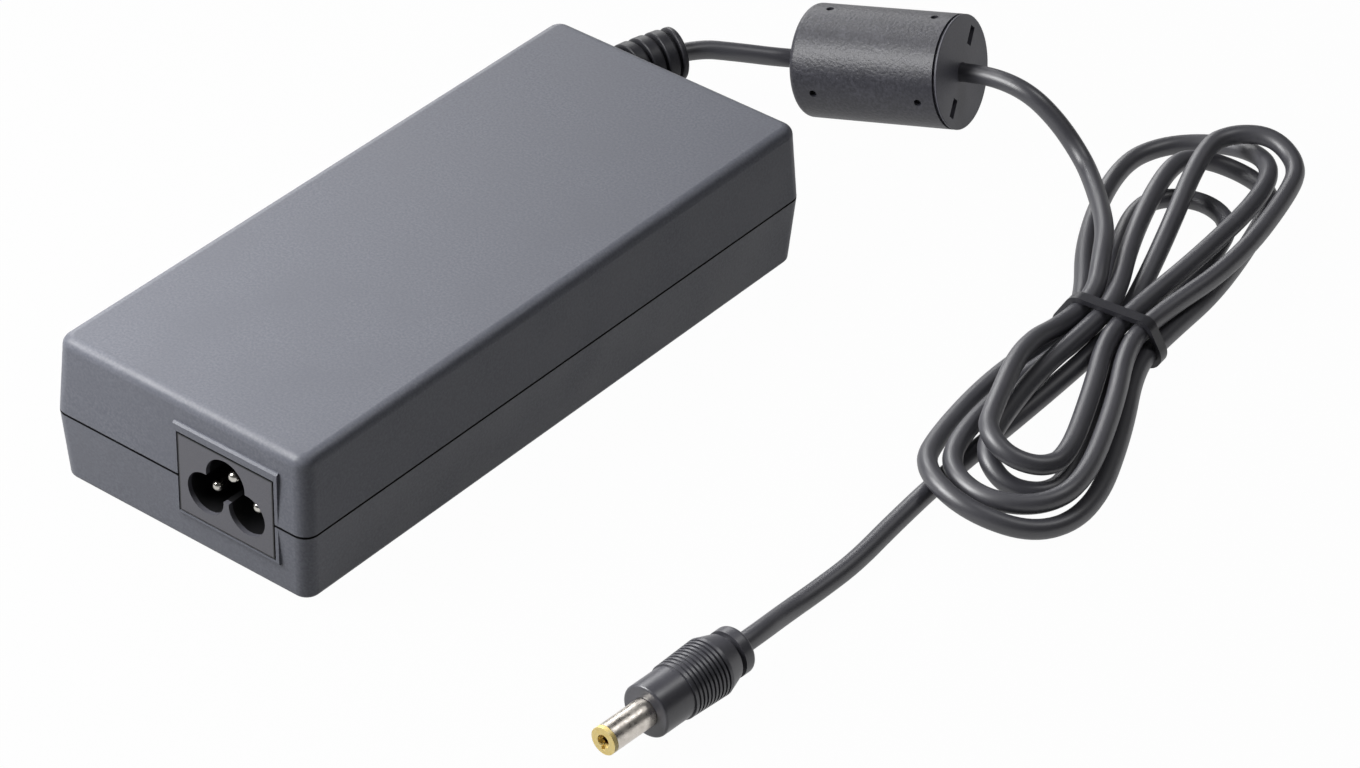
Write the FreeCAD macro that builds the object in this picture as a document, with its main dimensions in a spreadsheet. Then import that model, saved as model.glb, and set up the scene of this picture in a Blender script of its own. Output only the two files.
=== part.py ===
import FreeCAD, Part
import Sketcher
import math
import os

V = FreeCAD.Vector

# Laptop power adapter: a two-part case with a three-lobed mains inlet in its front end, a ribbed boot
# for the output cord in its back end, a ferrite choke on the cord, the cord tied up in a hank, and a
# round plug. Millimetres, +Z up, long side along Y, origin at the middle of the case's underside.
# The inlet is in the end at -Y.

SIZES = [
    ("case_length", 145.0, "case, long side at the seam"),
    ("case_width", 62.6, "case, short side at the seam"),
    ("case_height", 31.5, "case, from underside to top"),
    ("seam_height", 15.0, "height of the seam between the halves"),
    ("upper_draft", 1.0, "how far the top is drawn in on each side"),
    ("lower_draft", 1.0, "how far the underside is drawn in on each side"),
    ("corner_radius", 3.0, "upright corners of the case"),
    ("top_edge_radius", 2.2, "edge round the top"),
    ("bottom_edge_radius", 1.1, "edge round the underside"),
    ("side_wall", 2.2, "wall of the case's sides"),
    ("flat_wall", 2.0, "wall of the top and of the underside"),
    ("seam_gap", 0.2, "height of the seam's groove in each half"),
    ("seam_depth", 0.45, "depth of the seam's groove"),
    ("inlet_x", 11.8, "middle of the inlet across the case"),
    ("inlet_z", 15.95, "middle of the inlet above the underside"),
    ("inlet_width", 23.0, "inlet face, width"),
    ("inlet_height", 17.3, "inlet face, height"),
    ("inlet_gap", 0.3, "gap round the inlet in the case"),
    ("inlet_depth", 14.0, "inlet moulding, front to back"),
    ("inlet_flange", 1.2, "inlet's rim behind the wall, each way"),
    ("inlet_flange_thick", 2.4, "thickness of that rim"),
    ("bezel_side", 0.78, "raised frame beside the inlet"),
    ("bezel_top", 1.85, "raised frame above the inlet"),
    ("bezel_bottom", 0.8, "raised frame below the inlet"),
    ("socket_depth", 11.6, "depth of the three-lobed socket"),
    ("pin_pitch", 10.0, "distance between the two lower pins"),
    ("earth_rise", 4.9, "earth pin above the lower pins"),
    ("lower_pin_z", 14.0, "height of the two lower pins"),
    ("earth_lobe_radius", 4.7, "socket's upper lobe"),
    ("lower_lobe_radius", 4.4, "socket's two lower lobes"),
    ("pin_radius", 1.2, "inlet pins"),
    ("earth_set_back", 1.3, "tip of the earth pin behind the face"),
    ("pin_set_back", 2.2, "tips of the other pins behind the face"),
    ("pin_tail", 3.4, "pins behind the inlet moulding"),
    ("fit_gap", 0.05, "gap between a part and the hole that holds it"),
    ("relief_x", -23.2, "cord boot across the case"),
    ("relief_z", 16.0, "cord boot above the underside"),
    ("relief_neck_radius", 4.5, "boot where it passes the wall"),
    ("relief_core_radius", 4.55, "boot between its ribs"),
    ("relief_flange_radius", 6.3, "boot's rim inside the wall"),
    ("relief_flange_thick", 1.6, "thickness of that rim"),
    ("relief_root", 2.4, "thickness of the collar against the case"),
    ("relief_bend_radius", 60.8, "bend of the boot's centre line"),
    ("relief_bend_angle", 22.0, "turn of the boot's centre line"),
    ("relief_rib_radius", 5.75, "ribs of the boot"),
    ("relief_rib_thick", 2.65, "thickness of a rib"),
    ("relief_rib_step", 3.65, "from one rib to the next"),
    ("relief_ribs", 6, "number of ribs"),
    ("relief_end_rib", 1.3, "thickness of the last rib"),
    ("relief_rib_round", 0.45, "rounded edges of the ribs"),
    ("cord_radius", 1.95, "output cord"),
    ("cord_inside", 6.5, "end of the cord behind the outer face of the back wall"),
    ("choke_x", 0.0, "choke's left face across the case"),
    ("choke_y", 117.5, "choke's left face along the case"),
    ("choke_azimuth", 11.0, "turn of the choke's axis from +X"),
    ("choke_tilt", 12.5, "rise of the choke's axis"),
    ("choke_roll", -4.0, "turn of the cover about its own axis"),
    ("choke_slot_roll", -48.6, "turn of the end cap about the choke's axis"),
    ("choke_radius", 11.75, "choke, outside"),
    ("choke_length", 33.8, "choke, end to end"),
    ("choke_wall", 1.7, "choke cover's wall"),
    ("choke_cap_thick", 1.0, "choke's end cap outside the cover"),
    ("choke_seam", 0.65, "groove between the cover and its end cap"),
    ("choke_seam_depth", 0.6, "depth of that groove"),
    ("choke_cap_lip", 2.0, "cap's lip inside the cover"),
    ("choke_edge_radius", 1.3, "choke's rounded left edge"),
    ("choke_mouth_radius", 3.0, "hole for the cord in the choke's left end"),
    ("choke_core_gap", 0.3, "air between the ferrite and its cover"),
    ("choke_hole_radius", 0.8, "small round holes in the cover"),
    ("choke_hole_depth", 1.1, "depth of those holes"),
    ("choke_hole_inset", 5.3, "holes from the left end"),
    ("choke_hole_spacing", 23.8, "between the holes of a pair"),
    ("choke_hole_spread", 100.0, "angle between the two pairs"),
    ("choke_slot_wide", 1.8, "slots in the end cap, width"),
    ("choke_slot_long", 4.0, "slots in the end cap, length"),
    ("choke_slot_middle", 7.9, "slots in the end cap, from the axis"),
    ("choke_slot_depth", 1.0, "slots in the end cap, depth"),
    ("core_bore_radius", 3.0, "ferrite's bore"),
    ("tie_x", 95.7, "middle of the tie across the case"),
    ("tie_y", 86.1, "middle of the tie along the case"),
    ("hank_azimuth", 96.0, "direction of the hank's long axis from +X"),
    ("tie_wide", 2.5, "tie's width along the hank"),
    ("tie_thick", 1.0, "tie's thickness"),
    ("tie_gap", 0.1, "tie round the cords"),
    ("tie_hold", 6.0, "half of the stretch that the tie holds straight"),
    ("strand_step", 4.45, "between neighbouring strands in the tie"),
    ("strand_first", -8.7, "first strand in the tie, across the hank"),
    ("strand_low", 3.2, "lower strands in the tie"),
    ("strand_high", 7.1, "upper strands in the tie"),
    ("plug_x", 99.6, "plug's tip across the case"),
    ("plug_y", -72.6, "plug's tip along the case"),
    ("plug_azimuth", 86.8, "direction from the plug's tip to its cord"),
    ("barrel_radius", 2.75, "plug barrel, outside"),
    ("barrel_wall", 0.35, "plug barrel's wall"),
    ("barrel_exposed", 10.8, "plug's pin in front of the moulding"),
    ("barrel_held", 6.0, "plug barrel inside the moulding"),
    ("barrel_groove_lead", 0.1, "barrel's keying groove in front of the moulding's face"),
    ("barrel_groove_wide", 1.4, "width of the keying groove"),
    ("barrel_groove_deep", 0.18, "depth of the keying groove"),
    ("contact_bore", 1.05, "hole of the centre contact"),
    ("contact_wall", 0.4, "centre contact's wall"),
    ("insulator_lip", 1.2, "insulator in front of the centre contact"),
    ("insulator_flange", 0.9, "insulator in front of the barrel"),
    ("insulator_mouth", 1.3, "hole in the insulator's front"),
    ("insulator_slot_wide", 0.8, "notch in the insulator's front"),
    ("insulator_slot_deep", 0.6, "depth of that notch"),
    ("handle_radius", 5.85, "plug moulding at its widest"),
    ("handle_front_radius", 5.2, "plug moulding, smooth front part"),
    ("handle_front", 0.45, "rounding at the moulding's front"),
    ("handle_smooth", 7.4, "length of the smooth front part"),
    ("handle_step_radius", 5.5, "start of the grip, behind the smooth part"),
    ("handle_length", 16.8, "moulding to the start of its taper"),
    ("handle_taper", 3.6, "length of the taper"),
    ("collar_radius", 4.7, "collar behind the taper"),
    ("collar_length", 2.6, "length of the collar"),
    ("collar_groove", 1.1, "groove in front of the collar"),
    ("collar_groove_depth", 1.1, "depth of that groove"),
    ("collar_round", 0.8, "rounding at the collar's back"),
    ("grip_start", 8.3, "first grip groove from the moulding's front"),
    ("grip_length", 7.6, "from the first to the last grip groove"),
    ("grip_wide", 0.45, "width of a grip groove"),
    ("grip_deep", 0.25, "depth of the first grip groove"),
    ("board_lift", 3.0, "board above the case's floor"),
    ("board_thick", 1.6, "circuit board"),
    ("board_edge", 0.6, "board to the case's side walls"),
    ("board_front", 12.5, "board's front edge behind the case's front"),
    ("board_back", 6.2, "board's back edge before the case's back"),
    ("post_radius", 2.2, "posts under the board"),
    ("post_inset", 4.0, "posts from the board's edges"),
    ("sheet_thick", 0.4, "insulating sheet on the floor"),
    ("sheet_gap", 0.5, "sheet round the posts and from the walls"),
    ("shield_thick", 0.5, "shield under the top"),
    ("shield_side_gap", 4.1, "shield from the case's side walls"),
    ("shield_end_gap", 13.3, "shield from the case's end walls"),
    ("sink_thick", 2.0, "heat sinks, plate"),
    ("sink_headroom", 3.4, "heat sinks below the shield"),
    ("sink_foot", 4.5, "heat sinks, width of the foot"),
    ("primary_sink_length", 50.0, "primary heat sink"),
    ("primary_sink_start", 30.0, "primary heat sink behind the board's front edge"),
    ("secondary_sink_length", 34.0, "secondary heat sink"),
    ("secondary_sink_back", 4.3, "secondary heat sink before the board's back edge"),
    ("sink_inset", 4.0, "heat sinks' plates from the board's edges"),
    ("bridge_width", 14.0, "bridge rectifier, along the heat sink"),
    ("bridge_thick", 3.4, "bridge rectifier, thickness"),
    ("device_height", 15.0, "flat-tab devices, height"),
    ("device_width", 10.2, "flat-tab devices, width"),
    ("device_thick", 4.4, "flat-tab devices, thickness"),
    ("device_lift", 1.5, "flat-tab devices above the board"),
    ("bridge_start", 2.0, "bridge rectifier from the front of its heat sink"),
    ("transistor_end", 4.0, "switching transistor before the back of its heat sink"),
    ("rectifier_start", 12.0, "output rectifier from the front of its heat sink"),
    ("leg_radius", 0.45, "legs of devices"),
    ("bulk_radius", 8.8, "bulk capacitor, radius"),
    ("bulk_gap", 0.5, "bulk capacitor before the transformer's winding"),
    ("bulk_edge", 13.5, "bulk capacitor's middle from the board's right edge"),
    ("bulk_start", 29.0, "bulk capacitor behind the board's front edge"),
    ("core_width", 30.0, "transformer core, across"),
    ("core_length", 26.0, "transformer core, along"),
    ("core_headroom", 2.9, "transformer core below the shield"),
    ("core_leg", 5.5, "transformer core, outer legs"),
    ("core_centre", 9.0, "transformer core, middle leg"),
    ("core_x", 2.0, "transformer across the board"),
    ("core_back", 36.3, "transformer core before the board's back edge"),
    ("winding_gap", 0.3, "winding inside the core"),
    ("winding_over", 2.5, "winding beyond the core, each end"),
    ("filter_radius", 9.5, "line filter ring"),
    ("filter_height", 9.0, "line filter ring, height"),
    ("filter_bore", 4.0, "line filter ring, hole"),
    ("filter_base", 1.5, "line filter's base"),
    ("filter_edge", 14.5, "line filter's middle from the board's right edge"),
    ("filter_start", 17.0, "line filter's middle behind the board's front edge"),
    ("x_cap_width", 8.0, "interference capacitor, thickness"),
    ("x_cap_length", 18.0, "interference capacitor, length"),
    ("x_cap_height", 14.0, "interference capacitor, height"),
    ("x_cap_step", 8.2, "interference capacitor's middle beside the thermistor's"),
    ("x_cap_start", 5.0, "interference capacitor behind the board's front edge"),
    ("fuse_radius", 2.6, "fuse"),
    ("fuse_length", 20.0, "fuse, length"),
    ("fuse_edge", 5.0, "fuse's middle from the board's left edge"),
    ("disc_radius", 4.4, "disc capacitors and thermistor"),
    ("disc_thick", 3.2, "thickness of the discs"),
    ("thermistor_step", 6.3, "thermistor's middle beside the fuse's"),
    ("thermistor_start", 12.0, "thermistor's middle behind the board's front edge"),
    ("y_cap_gap", 1.5, "front disc capacitor behind the interference capacitor"),
    ("y_cap_step", 10.0, "between the disc capacitors"),
    ("opto_width", 6.5, "optocoupler, across"),
    ("opto_length", 9.0, "optocoupler, along"),
    ("opto_height", 3.6, "optocoupler, height"),
    ("opto_back", 30.3, "optocoupler's front before the board's back edge"),
    ("output_cap_radius", 5.0, "output capacitors"),
    ("output_cap_headroom", 2.4, "output capacitors below the shield"),
    ("output_cap_x", 6.0, "output capacitors across the board"),
    ("output_cap_back", 13.3, "back output capacitor's middle before the board's back edge"),
    ("output_cap_step", 12.0, "between the output capacitors"),
    ("inductor_radius", 6.0, "output inductor"),
    ("inductor_height", 12.0, "output inductor, height"),
    ("inductor_back", 11.3, "output inductor's middle before the board's back edge"),
    ("lead_radius", 0.75, "output leads inside the case"),
    ("lead_spread", 0.95, "each lead beside the cord's middle"),
    ("lead_reach", 12.0, "leads from the cord's end towards the front"),
    ("lead_bend", 3.0, "bend of the leads"),
]

doc = FreeCAD.newDocument("PowerAdapter")
sheet = doc.addObject("Spreadsheet::Sheet", "Sizes")
for row, (alias, number, note) in enumerate(SIZES, 1):
    sheet.set("A%d" % row, note)
    sheet.set("B%d" % row, str(number))
    sheet.setAlias("B%d" % row, alias)
doc.recompute()


class Term:
    """A size, or a sum of sizes: its text for an expression, and its number for a first outline."""

    def __init__(self, text, number):
        self.text = text
        self.number = number

    def join(self, sign, other, swap=False):
        if not isinstance(other, Term):
            other = Term(repr(float(other)), float(other))
        a, b = (other, self) if swap else (self, other)
        number = {"+": a.number + b.number, "-": a.number - b.number, "*": a.number * b.number}.get(sign)
        if number is None:
            number = a.number / b.number
        return Term("(%s %s %s)" % (a.text, sign, b.text), number)

    def __add__(self, other):
        return self.join("+", other)

    def __radd__(self, other):
        return self.join("+", other, True)

    def __sub__(self, other):
        return self.join("-", other)

    def __rsub__(self, other):
        return self.join("-", other, True)

    def __mul__(self, other):
        return self.join("*", other)

    def __rmul__(self, other):
        return self.join("*", other, True)

    def __truediv__(self, other):
        return self.join("/", other)

    def __neg__(self):
        return self.join("*", -1.0)


class Named:
    pass


s = Named()
for alias, number, note in SIZES:
    setattr(s, alias, Term("Sizes." + alias, float(sheet.get(alias))))


def text_of(term):
    return term.text if isinstance(term, Term) else repr(float(term))


def number_of(term):
    return term.number if isinstance(term, Term) else float(term)


def bind(thing, what, term):
    thing.setExpression(what, text_of(term))


def place(thing, x=0, y=0, z=0):
    bind(thing, "Placement.Base.x", x)
    bind(thing, "Placement.Base.y", y)
    bind(thing, "Placement.Base.z", z)


def slope(rise, run):
    """The angle of a draft: rise across, run along."""
    degrees = math.degrees(math.atan(number_of(rise) / number_of(run)))
    return Term("atan(%s / %s)" % (text_of(rise), text_of(run)), degrees)


nodes = []


def node(thing, label):
    thing.Label = label
    nodes.append(thing)
    return thing


# Sketched pieces.

def new_body(label):
    return node(doc.addObject("PartDesign::Body", label), label)


def origin_part(body, role):
    return [f for f in body.Origin.OriginFeatures if f.Role == role][0]


def new_sketch(body, name, plane, across=0, up=0, lift=0):
    sketch = body.newObject("Sketcher::SketchObject", name)
    sketch.AttachmentSupport = [(origin_part(body, plane), "")]
    sketch.MapMode = "FlatFace"
    bind(sketch, "AttachmentOffset.Base.x", across)
    bind(sketch, "AttachmentOffset.Base.y", up)
    bind(sketch, "AttachmentOffset.Base.z", lift)
    return sketch


def measure(sketch, name, term, *where):
    index = sketch.addConstraint(Sketcher.Constraint(*where, number_of(term)))
    sketch.renameConstraint(index, name)
    bind(sketch, "Constraints." + name, term)


def rectangle(sketch, width, height):
    a = number_of(width) / 2
    b = number_of(height) / 2
    corners = [V(-a, -b), V(a, -b), V(a, b), V(-a, b)]
    for k in range(4):
        sketch.addGeometry(Part.LineSegment(corners[k], corners[(k + 1) % 4]))
    for k in range(4):
        sketch.addConstraint(Sketcher.Constraint("Coincident", k, 2, (k + 1) % 4, 1))
    for k in (0, 2):
        sketch.addConstraint(Sketcher.Constraint("Horizontal", k))
        sketch.addConstraint(Sketcher.Constraint("Vertical", k + 1))
    sketch.addConstraint(Sketcher.Constraint("Symmetric", 0, 1, 2, 1, -1, 1))
    measure(sketch, "across", width, "DistanceX", 0, 1, 0, 2)
    measure(sketch, "along", height, "DistanceY", 1, 1, 1, 2)
    return sketch


def circle(sketch, radius):
    sketch.addGeometry(Part.Circle(V(0, 0, 0), V(0, 0, 1), number_of(radius)))
    sketch.addConstraint(Sketcher.Constraint("Coincident", 0, 3, -1, 1))
    measure(sketch, "radius", radius, "Radius", 0)
    return sketch


def outline(sketch, points):
    """A closed outline of straight lines; every corner has its own two measures."""
    count = len(points)
    flat = [V(number_of(x), number_of(y)) for x, y in points]
    for k in range(count):
        sketch.addGeometry(Part.LineSegment(flat[k], flat[(k + 1) % count]))
    for k in range(count):
        sketch.addConstraint(Sketcher.Constraint("Coincident", k, 2, (k + 1) % count, 1))
    for k, (x, y) in enumerate(points):
        if isinstance(x, Term):
            measure(sketch, "across_%d" % k, x, "DistanceX", -1, 1, k, 1)
        else:
            sketch.addConstraint(Sketcher.Constraint("PointOnObject", k, 1, -2))
        if isinstance(y, Term):
            measure(sketch, "along_%d" % k, y, "DistanceY", -1, 1, k, 1)
        else:
            sketch.addConstraint(Sketcher.Constraint("PointOnObject", k, 1, -1))
    return sketch


def pad(body, sketch, name, length, flip=False, taper=None):
    feature = body.newObject("PartDesign::Pad", name)
    feature.Profile = sketch
    feature.Reversed = flip
    bind(feature, "Length", length)
    if taper is not None:
        bind(feature, "TaperAngle", taper)
    return feature


def pocket(body, sketch, name, depth, flip=False, taper=None):
    feature = body.newObject("PartDesign::Pocket", name)
    feature.Profile = sketch
    feature.Reversed = flip
    bind(feature, "Length", depth)
    if taper is not None:
        bind(feature, "TaperAngle", taper)
    return feature


def revolve(body, sketch, name):
    feature = body.newObject("PartDesign::Revolution", name)
    feature.Profile = sketch
    feature.ReferenceAxis = (origin_part(body, "X_Axis"), [""])
    feature.Angle = 360.0
    return feature


def edges_of(shape, wanted):
    return ["Edge%d" % (k + 1) for k, edge in enumerate(shape.Edges) if wanted(edge)]


def dress(body, kind, name, wanted, what, term):
    """A fillet or a chamfer on the edges that the test picks on the body as it is now."""
    doc.recompute()
    base = body.Tip
    feature = body.newObject("PartDesign::" + kind, name)
    feature.Base = (base, edges_of(base.Shape, wanted))
    bind(feature, what, term)
    doc.recompute()
    return feature


def at_height(edge, z):
    return all(abs(v.Z - z) < 0.01 for v in edge.Vertexes)


def level(edge):
    return max(v.Z for v in edge.Vertexes) - min(v.Z for v in edge.Vertexes) < 0.01


def upright(edge):
    heights = [v.Z for v in edge.Vertexes]
    return len(heights) == 2 and abs(heights[0] - heights[1]) > 5


# The two halves of the case.

half_width = s.case_width / 2
half_length = s.case_length / 2
inlet_open_width = s.inlet_width + 2 * s.inlet_gap
inlet_open_height = s.inlet_height + 2 * s.inlet_gap
inlet_bottom = s.inlet_z - inlet_open_height / 2
inlet_top = s.inlet_z + inlet_open_height / 2
board_z = s.flat_wall + s.board_lift
board_top = board_z + s.board_thick
board_width = s.case_width - 2 * (s.side_wall + s.lower_draft + s.board_edge)
board_length = s.case_length - s.board_front - s.board_back
board_start = s.board_front - half_length
board_middle = board_start + board_length / 2
post_x = board_width / 2 - s.post_inset
post_y = board_length / 2 - s.post_inset
shield_under = s.case_height - s.flat_wall - s.shield_thick


def case_half(label, height, draft, edge_radius, upwards):
    body = new_body(label)
    angle = -slope(draft, height)
    lip = rectangle(new_sketch(body, label + "_lip_plan", "XY_Plane", lift=s.seam_height),
                    s.case_width - 2 * s.seam_depth, s.case_length - 2 * s.seam_depth)
    pad(body, lip, label + "_lip", 3 * s.seam_gap, flip=not upwards)
    dress(body, "Fillet", label + "_lip_corners", lambda e: not level(e), "Radius",
          s.corner_radius - s.seam_depth)
    begin = s.seam_height + s.seam_gap if upwards else s.seam_height - s.seam_gap
    plan = rectangle(new_sketch(body, label + "_plan", "XY_Plane", lift=begin),
                     s.case_width, s.case_length)
    pad(body, plan, label + "_block", height - s.seam_gap, flip=not upwards, taper=angle)
    dress(body, "Fillet", label + "_corners", upright, "Radius", s.corner_radius)
    far = number_of(s.seam_height + height if upwards else s.seam_height - height)
    dress(body, "Fillet", label + "_edge", lambda e: at_height(e, far), "Radius", edge_radius)
    inside = rectangle(new_sketch(body, label + "_inside", "XY_Plane", lift=s.seam_height),
                       s.case_width - 2 * s.side_wall, s.case_length - 2 * s.side_wall)
    pocket(body, inside, label + "_hollow", height - s.flat_wall, flip=upwards, taper=angle)
    return body


def front_frame(body, label, bottom, top, rim, draft):
    """The raised frame round the inlet, upright while the wall leans, bevelled along its rim."""
    sketch = new_sketch(body, label + "_frame_face", "XZ_Plane",
                        across=s.inlet_x, up=(bottom + top) / 2, lift=half_length)
    rectangle(sketch, inlet_open_width + 2 * s.bezel_side, top - bottom)
    pad(body, sketch, label + "_frame", s.side_wall, flip=True)
    front = -half_length.number
    dress(body, "Chamfer", label + "_frame_rim",
          lambda e: at_height(e, rim.number) and all(abs(v.Y - front) < 0.01 for v in e.Vertexes),
          "Size", 0.4 * draft)


def front_opening(body, label, bottom, top):
    sketch = new_sketch(body, label + "_opening_face", "XZ_Plane",
                        across=s.inlet_x, up=(bottom + top) / 2, lift=half_length)
    rectangle(sketch, inlet_open_width, top - bottom)
    pocket(body, sketch, label + "_opening", s.side_wall + s.upper_draft + s.lower_draft)


def cord_opening(body, label, draft):
    sketch = new_sketch(body, label + "_cord_face", "XZ_Plane", across=s.relief_x, up=s.relief_z,
                        lift=-half_length + s.side_wall + draft + s.relief_flange_thick)
    circle(sketch, s.relief_neck_radius + s.fit_gap)
    pocket(body, sketch, label + "_cord_hole", s.side_wall + draft + 2 * s.relief_flange_thick)


upper = case_half("upper_shell", s.case_height - s.seam_height, s.upper_draft, s.top_edge_radius, True)
frame_top = inlet_top + s.bezel_top
frame_bottom = inlet_bottom - s.bezel_bottom
front_frame(upper, "upper", s.seam_height + s.seam_gap, frame_top, frame_top, s.upper_draft)
front_opening(upper, "upper", s.seam_height, inlet_top)
cord_opening(upper, "upper", s.upper_draft)

lower = case_half("lower_shell", s.seam_height, s.lower_draft, s.bottom_edge_radius, False)
front_frame(lower, "lower", frame_bottom, s.seam_height - s.seam_gap, frame_bottom, s.lower_draft)
front_opening(lower, "lower", inlet_bottom, s.seam_height)
cord_opening(lower, "lower", s.lower_draft)
for number, (side, end) in enumerate(((-1, -1), (1, -1), (1, 1), (-1, 1)), 1):
    post = new_sketch(lower, "post_%d_plan" % number, "XY_Plane", across=post_x * side,
                      up=board_middle + post_y * end, lift=s.flat_wall - 0.5 * s.flat_wall)
    circle(post, s.post_radius)
    pad(lower, post, "post_%d" % number, s.board_lift + 0.5 * s.flat_wall)

# The mains inlet and its three pins.

inlet = new_body("inlet_body")
inlet_front = half_length
flange_start = half_length - s.side_wall - s.upper_draft - s.fit_gap
face = new_sketch(inlet, "inlet_face", "XZ_Plane", across=s.inlet_x, up=s.inlet_z, lift=inlet_front)
rectangle(face, s.inlet_width, s.inlet_height)
pad(inlet, face, "inlet_block", s.inlet_depth, flip=True)
flange = new_sketch(inlet, "inlet_flange_face", "XZ_Plane", across=s.inlet_x, up=s.inlet_z,
                    lift=flange_start)
rectangle(flange, s.inlet_width + 2 * s.inlet_flange, s.inlet_height + 2 * s.inlet_flange)
pad(inlet, flange, "inlet_rim", s.inlet_flange_thick, flip=True)
earth_z = s.lower_pin_z + s.earth_rise
LOBES = [
    ("earth", s.inlet_x, earth_z, s.earth_lobe_radius, s.earth_set_back),
    ("live", s.inlet_x - s.pin_pitch / 2, s.lower_pin_z, s.lower_lobe_radius, s.pin_set_back),
    ("neutral", s.inlet_x + s.pin_pitch / 2, s.lower_pin_z, s.lower_lobe_radius, s.pin_set_back),
]
for name, x, z, lobe, set_back in LOBES:
    ring = new_sketch(inlet, "socket_%s_face" % name, "XZ_Plane", across=x, up=z, lift=inlet_front)
    pocket(inlet, circle(ring, lobe), "socket_" + name, s.socket_depth)
    ring = new_sketch(inlet, "hole_%s_face" % name, "XZ_Plane", across=x, up=z,
                      lift=inlet_front - s.socket_depth + s.pin_radius)
    pocket(inlet, circle(ring, s.pin_radius + s.fit_gap), "hole_" + name,
           s.inlet_depth - s.socket_depth + 2 * s.pin_radius)


# Plain pieces.

TURN = {
    "x": FreeCAD.Rotation(V(0, 1, 0), 90),
    "y": FreeCAD.Rotation(V(1, 0, 0), -90),
    "z": FreeCAD.Rotation(),
}


def box(name, sizes, corner):
    thing = doc.addObject("Part::Box", name)
    for what, term in zip(("Length", "Width", "Height"), sizes):
        bind(thing, what, term)
    place(thing, *corner)
    return thing


def rod(name, radius, length, start, axis="z"):
    thing = doc.addObject("Part::Cylinder", name)
    thing.Placement = FreeCAD.Placement(V(0, 0, 0), TURN[axis])
    bind(thing, "Radius", radius)
    bind(thing, "Height", length)
    place(thing, *start)
    return thing


def ball(name, radius, middle):
    thing = doc.addObject("Part::Sphere", name)
    bind(thing, "Radius", radius)
    place(thing, *middle)
    return thing


def fuse(label, things):
    thing = doc.addObject("Part::MultiFuse", label)
    thing.Shapes = things
    thing.Refine = True
    return thing


def cut(label, base, tool):
    thing = doc.addObject("Part::Cut", label)
    thing.Base = base
    thing.Tool = tool
    return thing


for name, x, z, lobe, set_back in LOBES:
    tip = set_back + s.pin_radius - half_length
    end = s.inlet_depth + s.pin_tail - half_length
    shaft = rod(name + "_shaft", s.pin_radius, end - tip, (x, tip, z), "y")
    nose = ball(name + "_nose", s.pin_radius, (x, tip, z))
    leg_y = end - s.pin_radius
    leg = rod(name + "_leg", s.pin_radius * 0.6, z - board_top, (x, leg_y, board_top))
    node(fuse("inlet_%s_pin" % name, [shaft, nose, leg]), "inlet_%s_pin" % name)

# The cord boot: a collar, a bent core and its ribs, with a bore that follows the bend.

relief_exit_angle = s.relief_bend_angle.number
bend = s.relief_bend_radius.number


def relief_spot(angle):
    """Point and direction on the boot's centre line, after this many degrees of its bend."""
    a = math.radians(angle)
    across = s.relief_x.number + bend * (1 - math.cos(a))
    along = half_length.number + bend * math.sin(a)
    return V(across, along, s.relief_z.number), V(math.sin(a), math.cos(a), 0)


def arc_tube(radius, start_angle, end_angle):
    first, heading = relief_spot(start_angle)
    middle = relief_spot((start_angle + end_angle) / 2)[0]
    last = relief_spot(end_angle)[0]
    path = Part.Wire([Part.Arc(first, middle, last).toShape()])
    ring = Part.Wire([Part.Circle(first, heading, radius).toShape()])
    return path.makePipeShell([ring], True, False)


def disc(point, heading, radius, thick):
    return Part.makeCylinder(radius, thick, point, heading)


def rounded_disc(point, heading, radius, thick, rounding):
    plain = disc(point, heading, radius, thick)
    rims = [edge for edge in plain.Edges if isinstance(edge.Curve, Part.Circle)]
    try:
        rounded = plain.makeFillet(min(rounding, 0.35 * thick), rims)
    except Part.OCCError:
        return plain
    return rounded if rounded.isValid() else plain


wall_here = (s.side_wall + s.upper_draft).number
back = half_length.number
root = V(s.relief_x.number, back, s.relief_z.number)
along = V(0, 1, 0)
inner_face = wall_here + s.fit_gap.number
pieces = [
    disc(root - along * (inner_face + s.relief_flange_thick.number), along,
         s.relief_flange_radius.number, s.relief_flange_thick.number),
    disc(root - along * (inner_face + 0.1), along, s.relief_neck_radius.number, inner_face + 0.2),
    disc(root + along * s.fit_gap.number, along, s.relief_rib_radius.number + 0.3, s.relief_root.number),
    arc_tube(s.relief_core_radius.number, 0.0, relief_exit_angle),
]
arc_length = math.radians(relief_exit_angle) * bend
rib_thick = s.relief_rib_thick.number
rib_count = int(s.relief_ribs.number)
for k in range(rib_count):
    start = arc_length - s.relief_end_rib.number - k * s.relief_rib_step.number
    spot, heading = relief_spot(math.degrees(start / bend))
    thick = rib_thick if k else s.relief_end_rib.number
    pieces.append(rounded_disc(spot, heading, s.relief_rib_radius.number, thick,
                               s.relief_rib_round.number))
bore = s.cord_radius.number + s.fit_gap.number
holes = [
    disc(root - along * (inner_face + 2 * s.relief_flange_thick.number), along, bore,
         inner_face + 2 * s.relief_flange_thick.number),
    arc_tube(bore, 0.0, relief_exit_angle + 1.5),
]
boot = pieces[0].multiFuse(pieces[1:])
for hole in holes:
    boot = boot.cut(hole)
relief = node(doc.addObject("Part::Feature", "output_strain_relief"), "output_strain_relief")
relief.Shape = boot.removeSplitter()
relief.Placement = FreeCAD.Placement()
print("boot", rib_count, "ribs, volume", round(boot.Volume, 1))

# The ferrite choke on the cord: cover, end cap and core, along one tilted axis.

choke_turn = FreeCAD.Rotation(s.choke_azimuth.number, -s.choke_tilt.number, 0)
choke_axis = choke_turn.multVec(V(1, 0, 0))
choke_low = s.choke_radius.number * math.cos(math.radians(s.choke_tilt.number))
choke_start = V(s.choke_x.number, s.choke_y.number, choke_low + s.fit_gap.number)


def on_choke(body, roll):
    rotation = FreeCAD.Rotation(s.choke_azimuth.number, -s.choke_tilt.number, roll)
    body.Placement = FreeCAD.Placement(choke_start, rotation)


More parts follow.
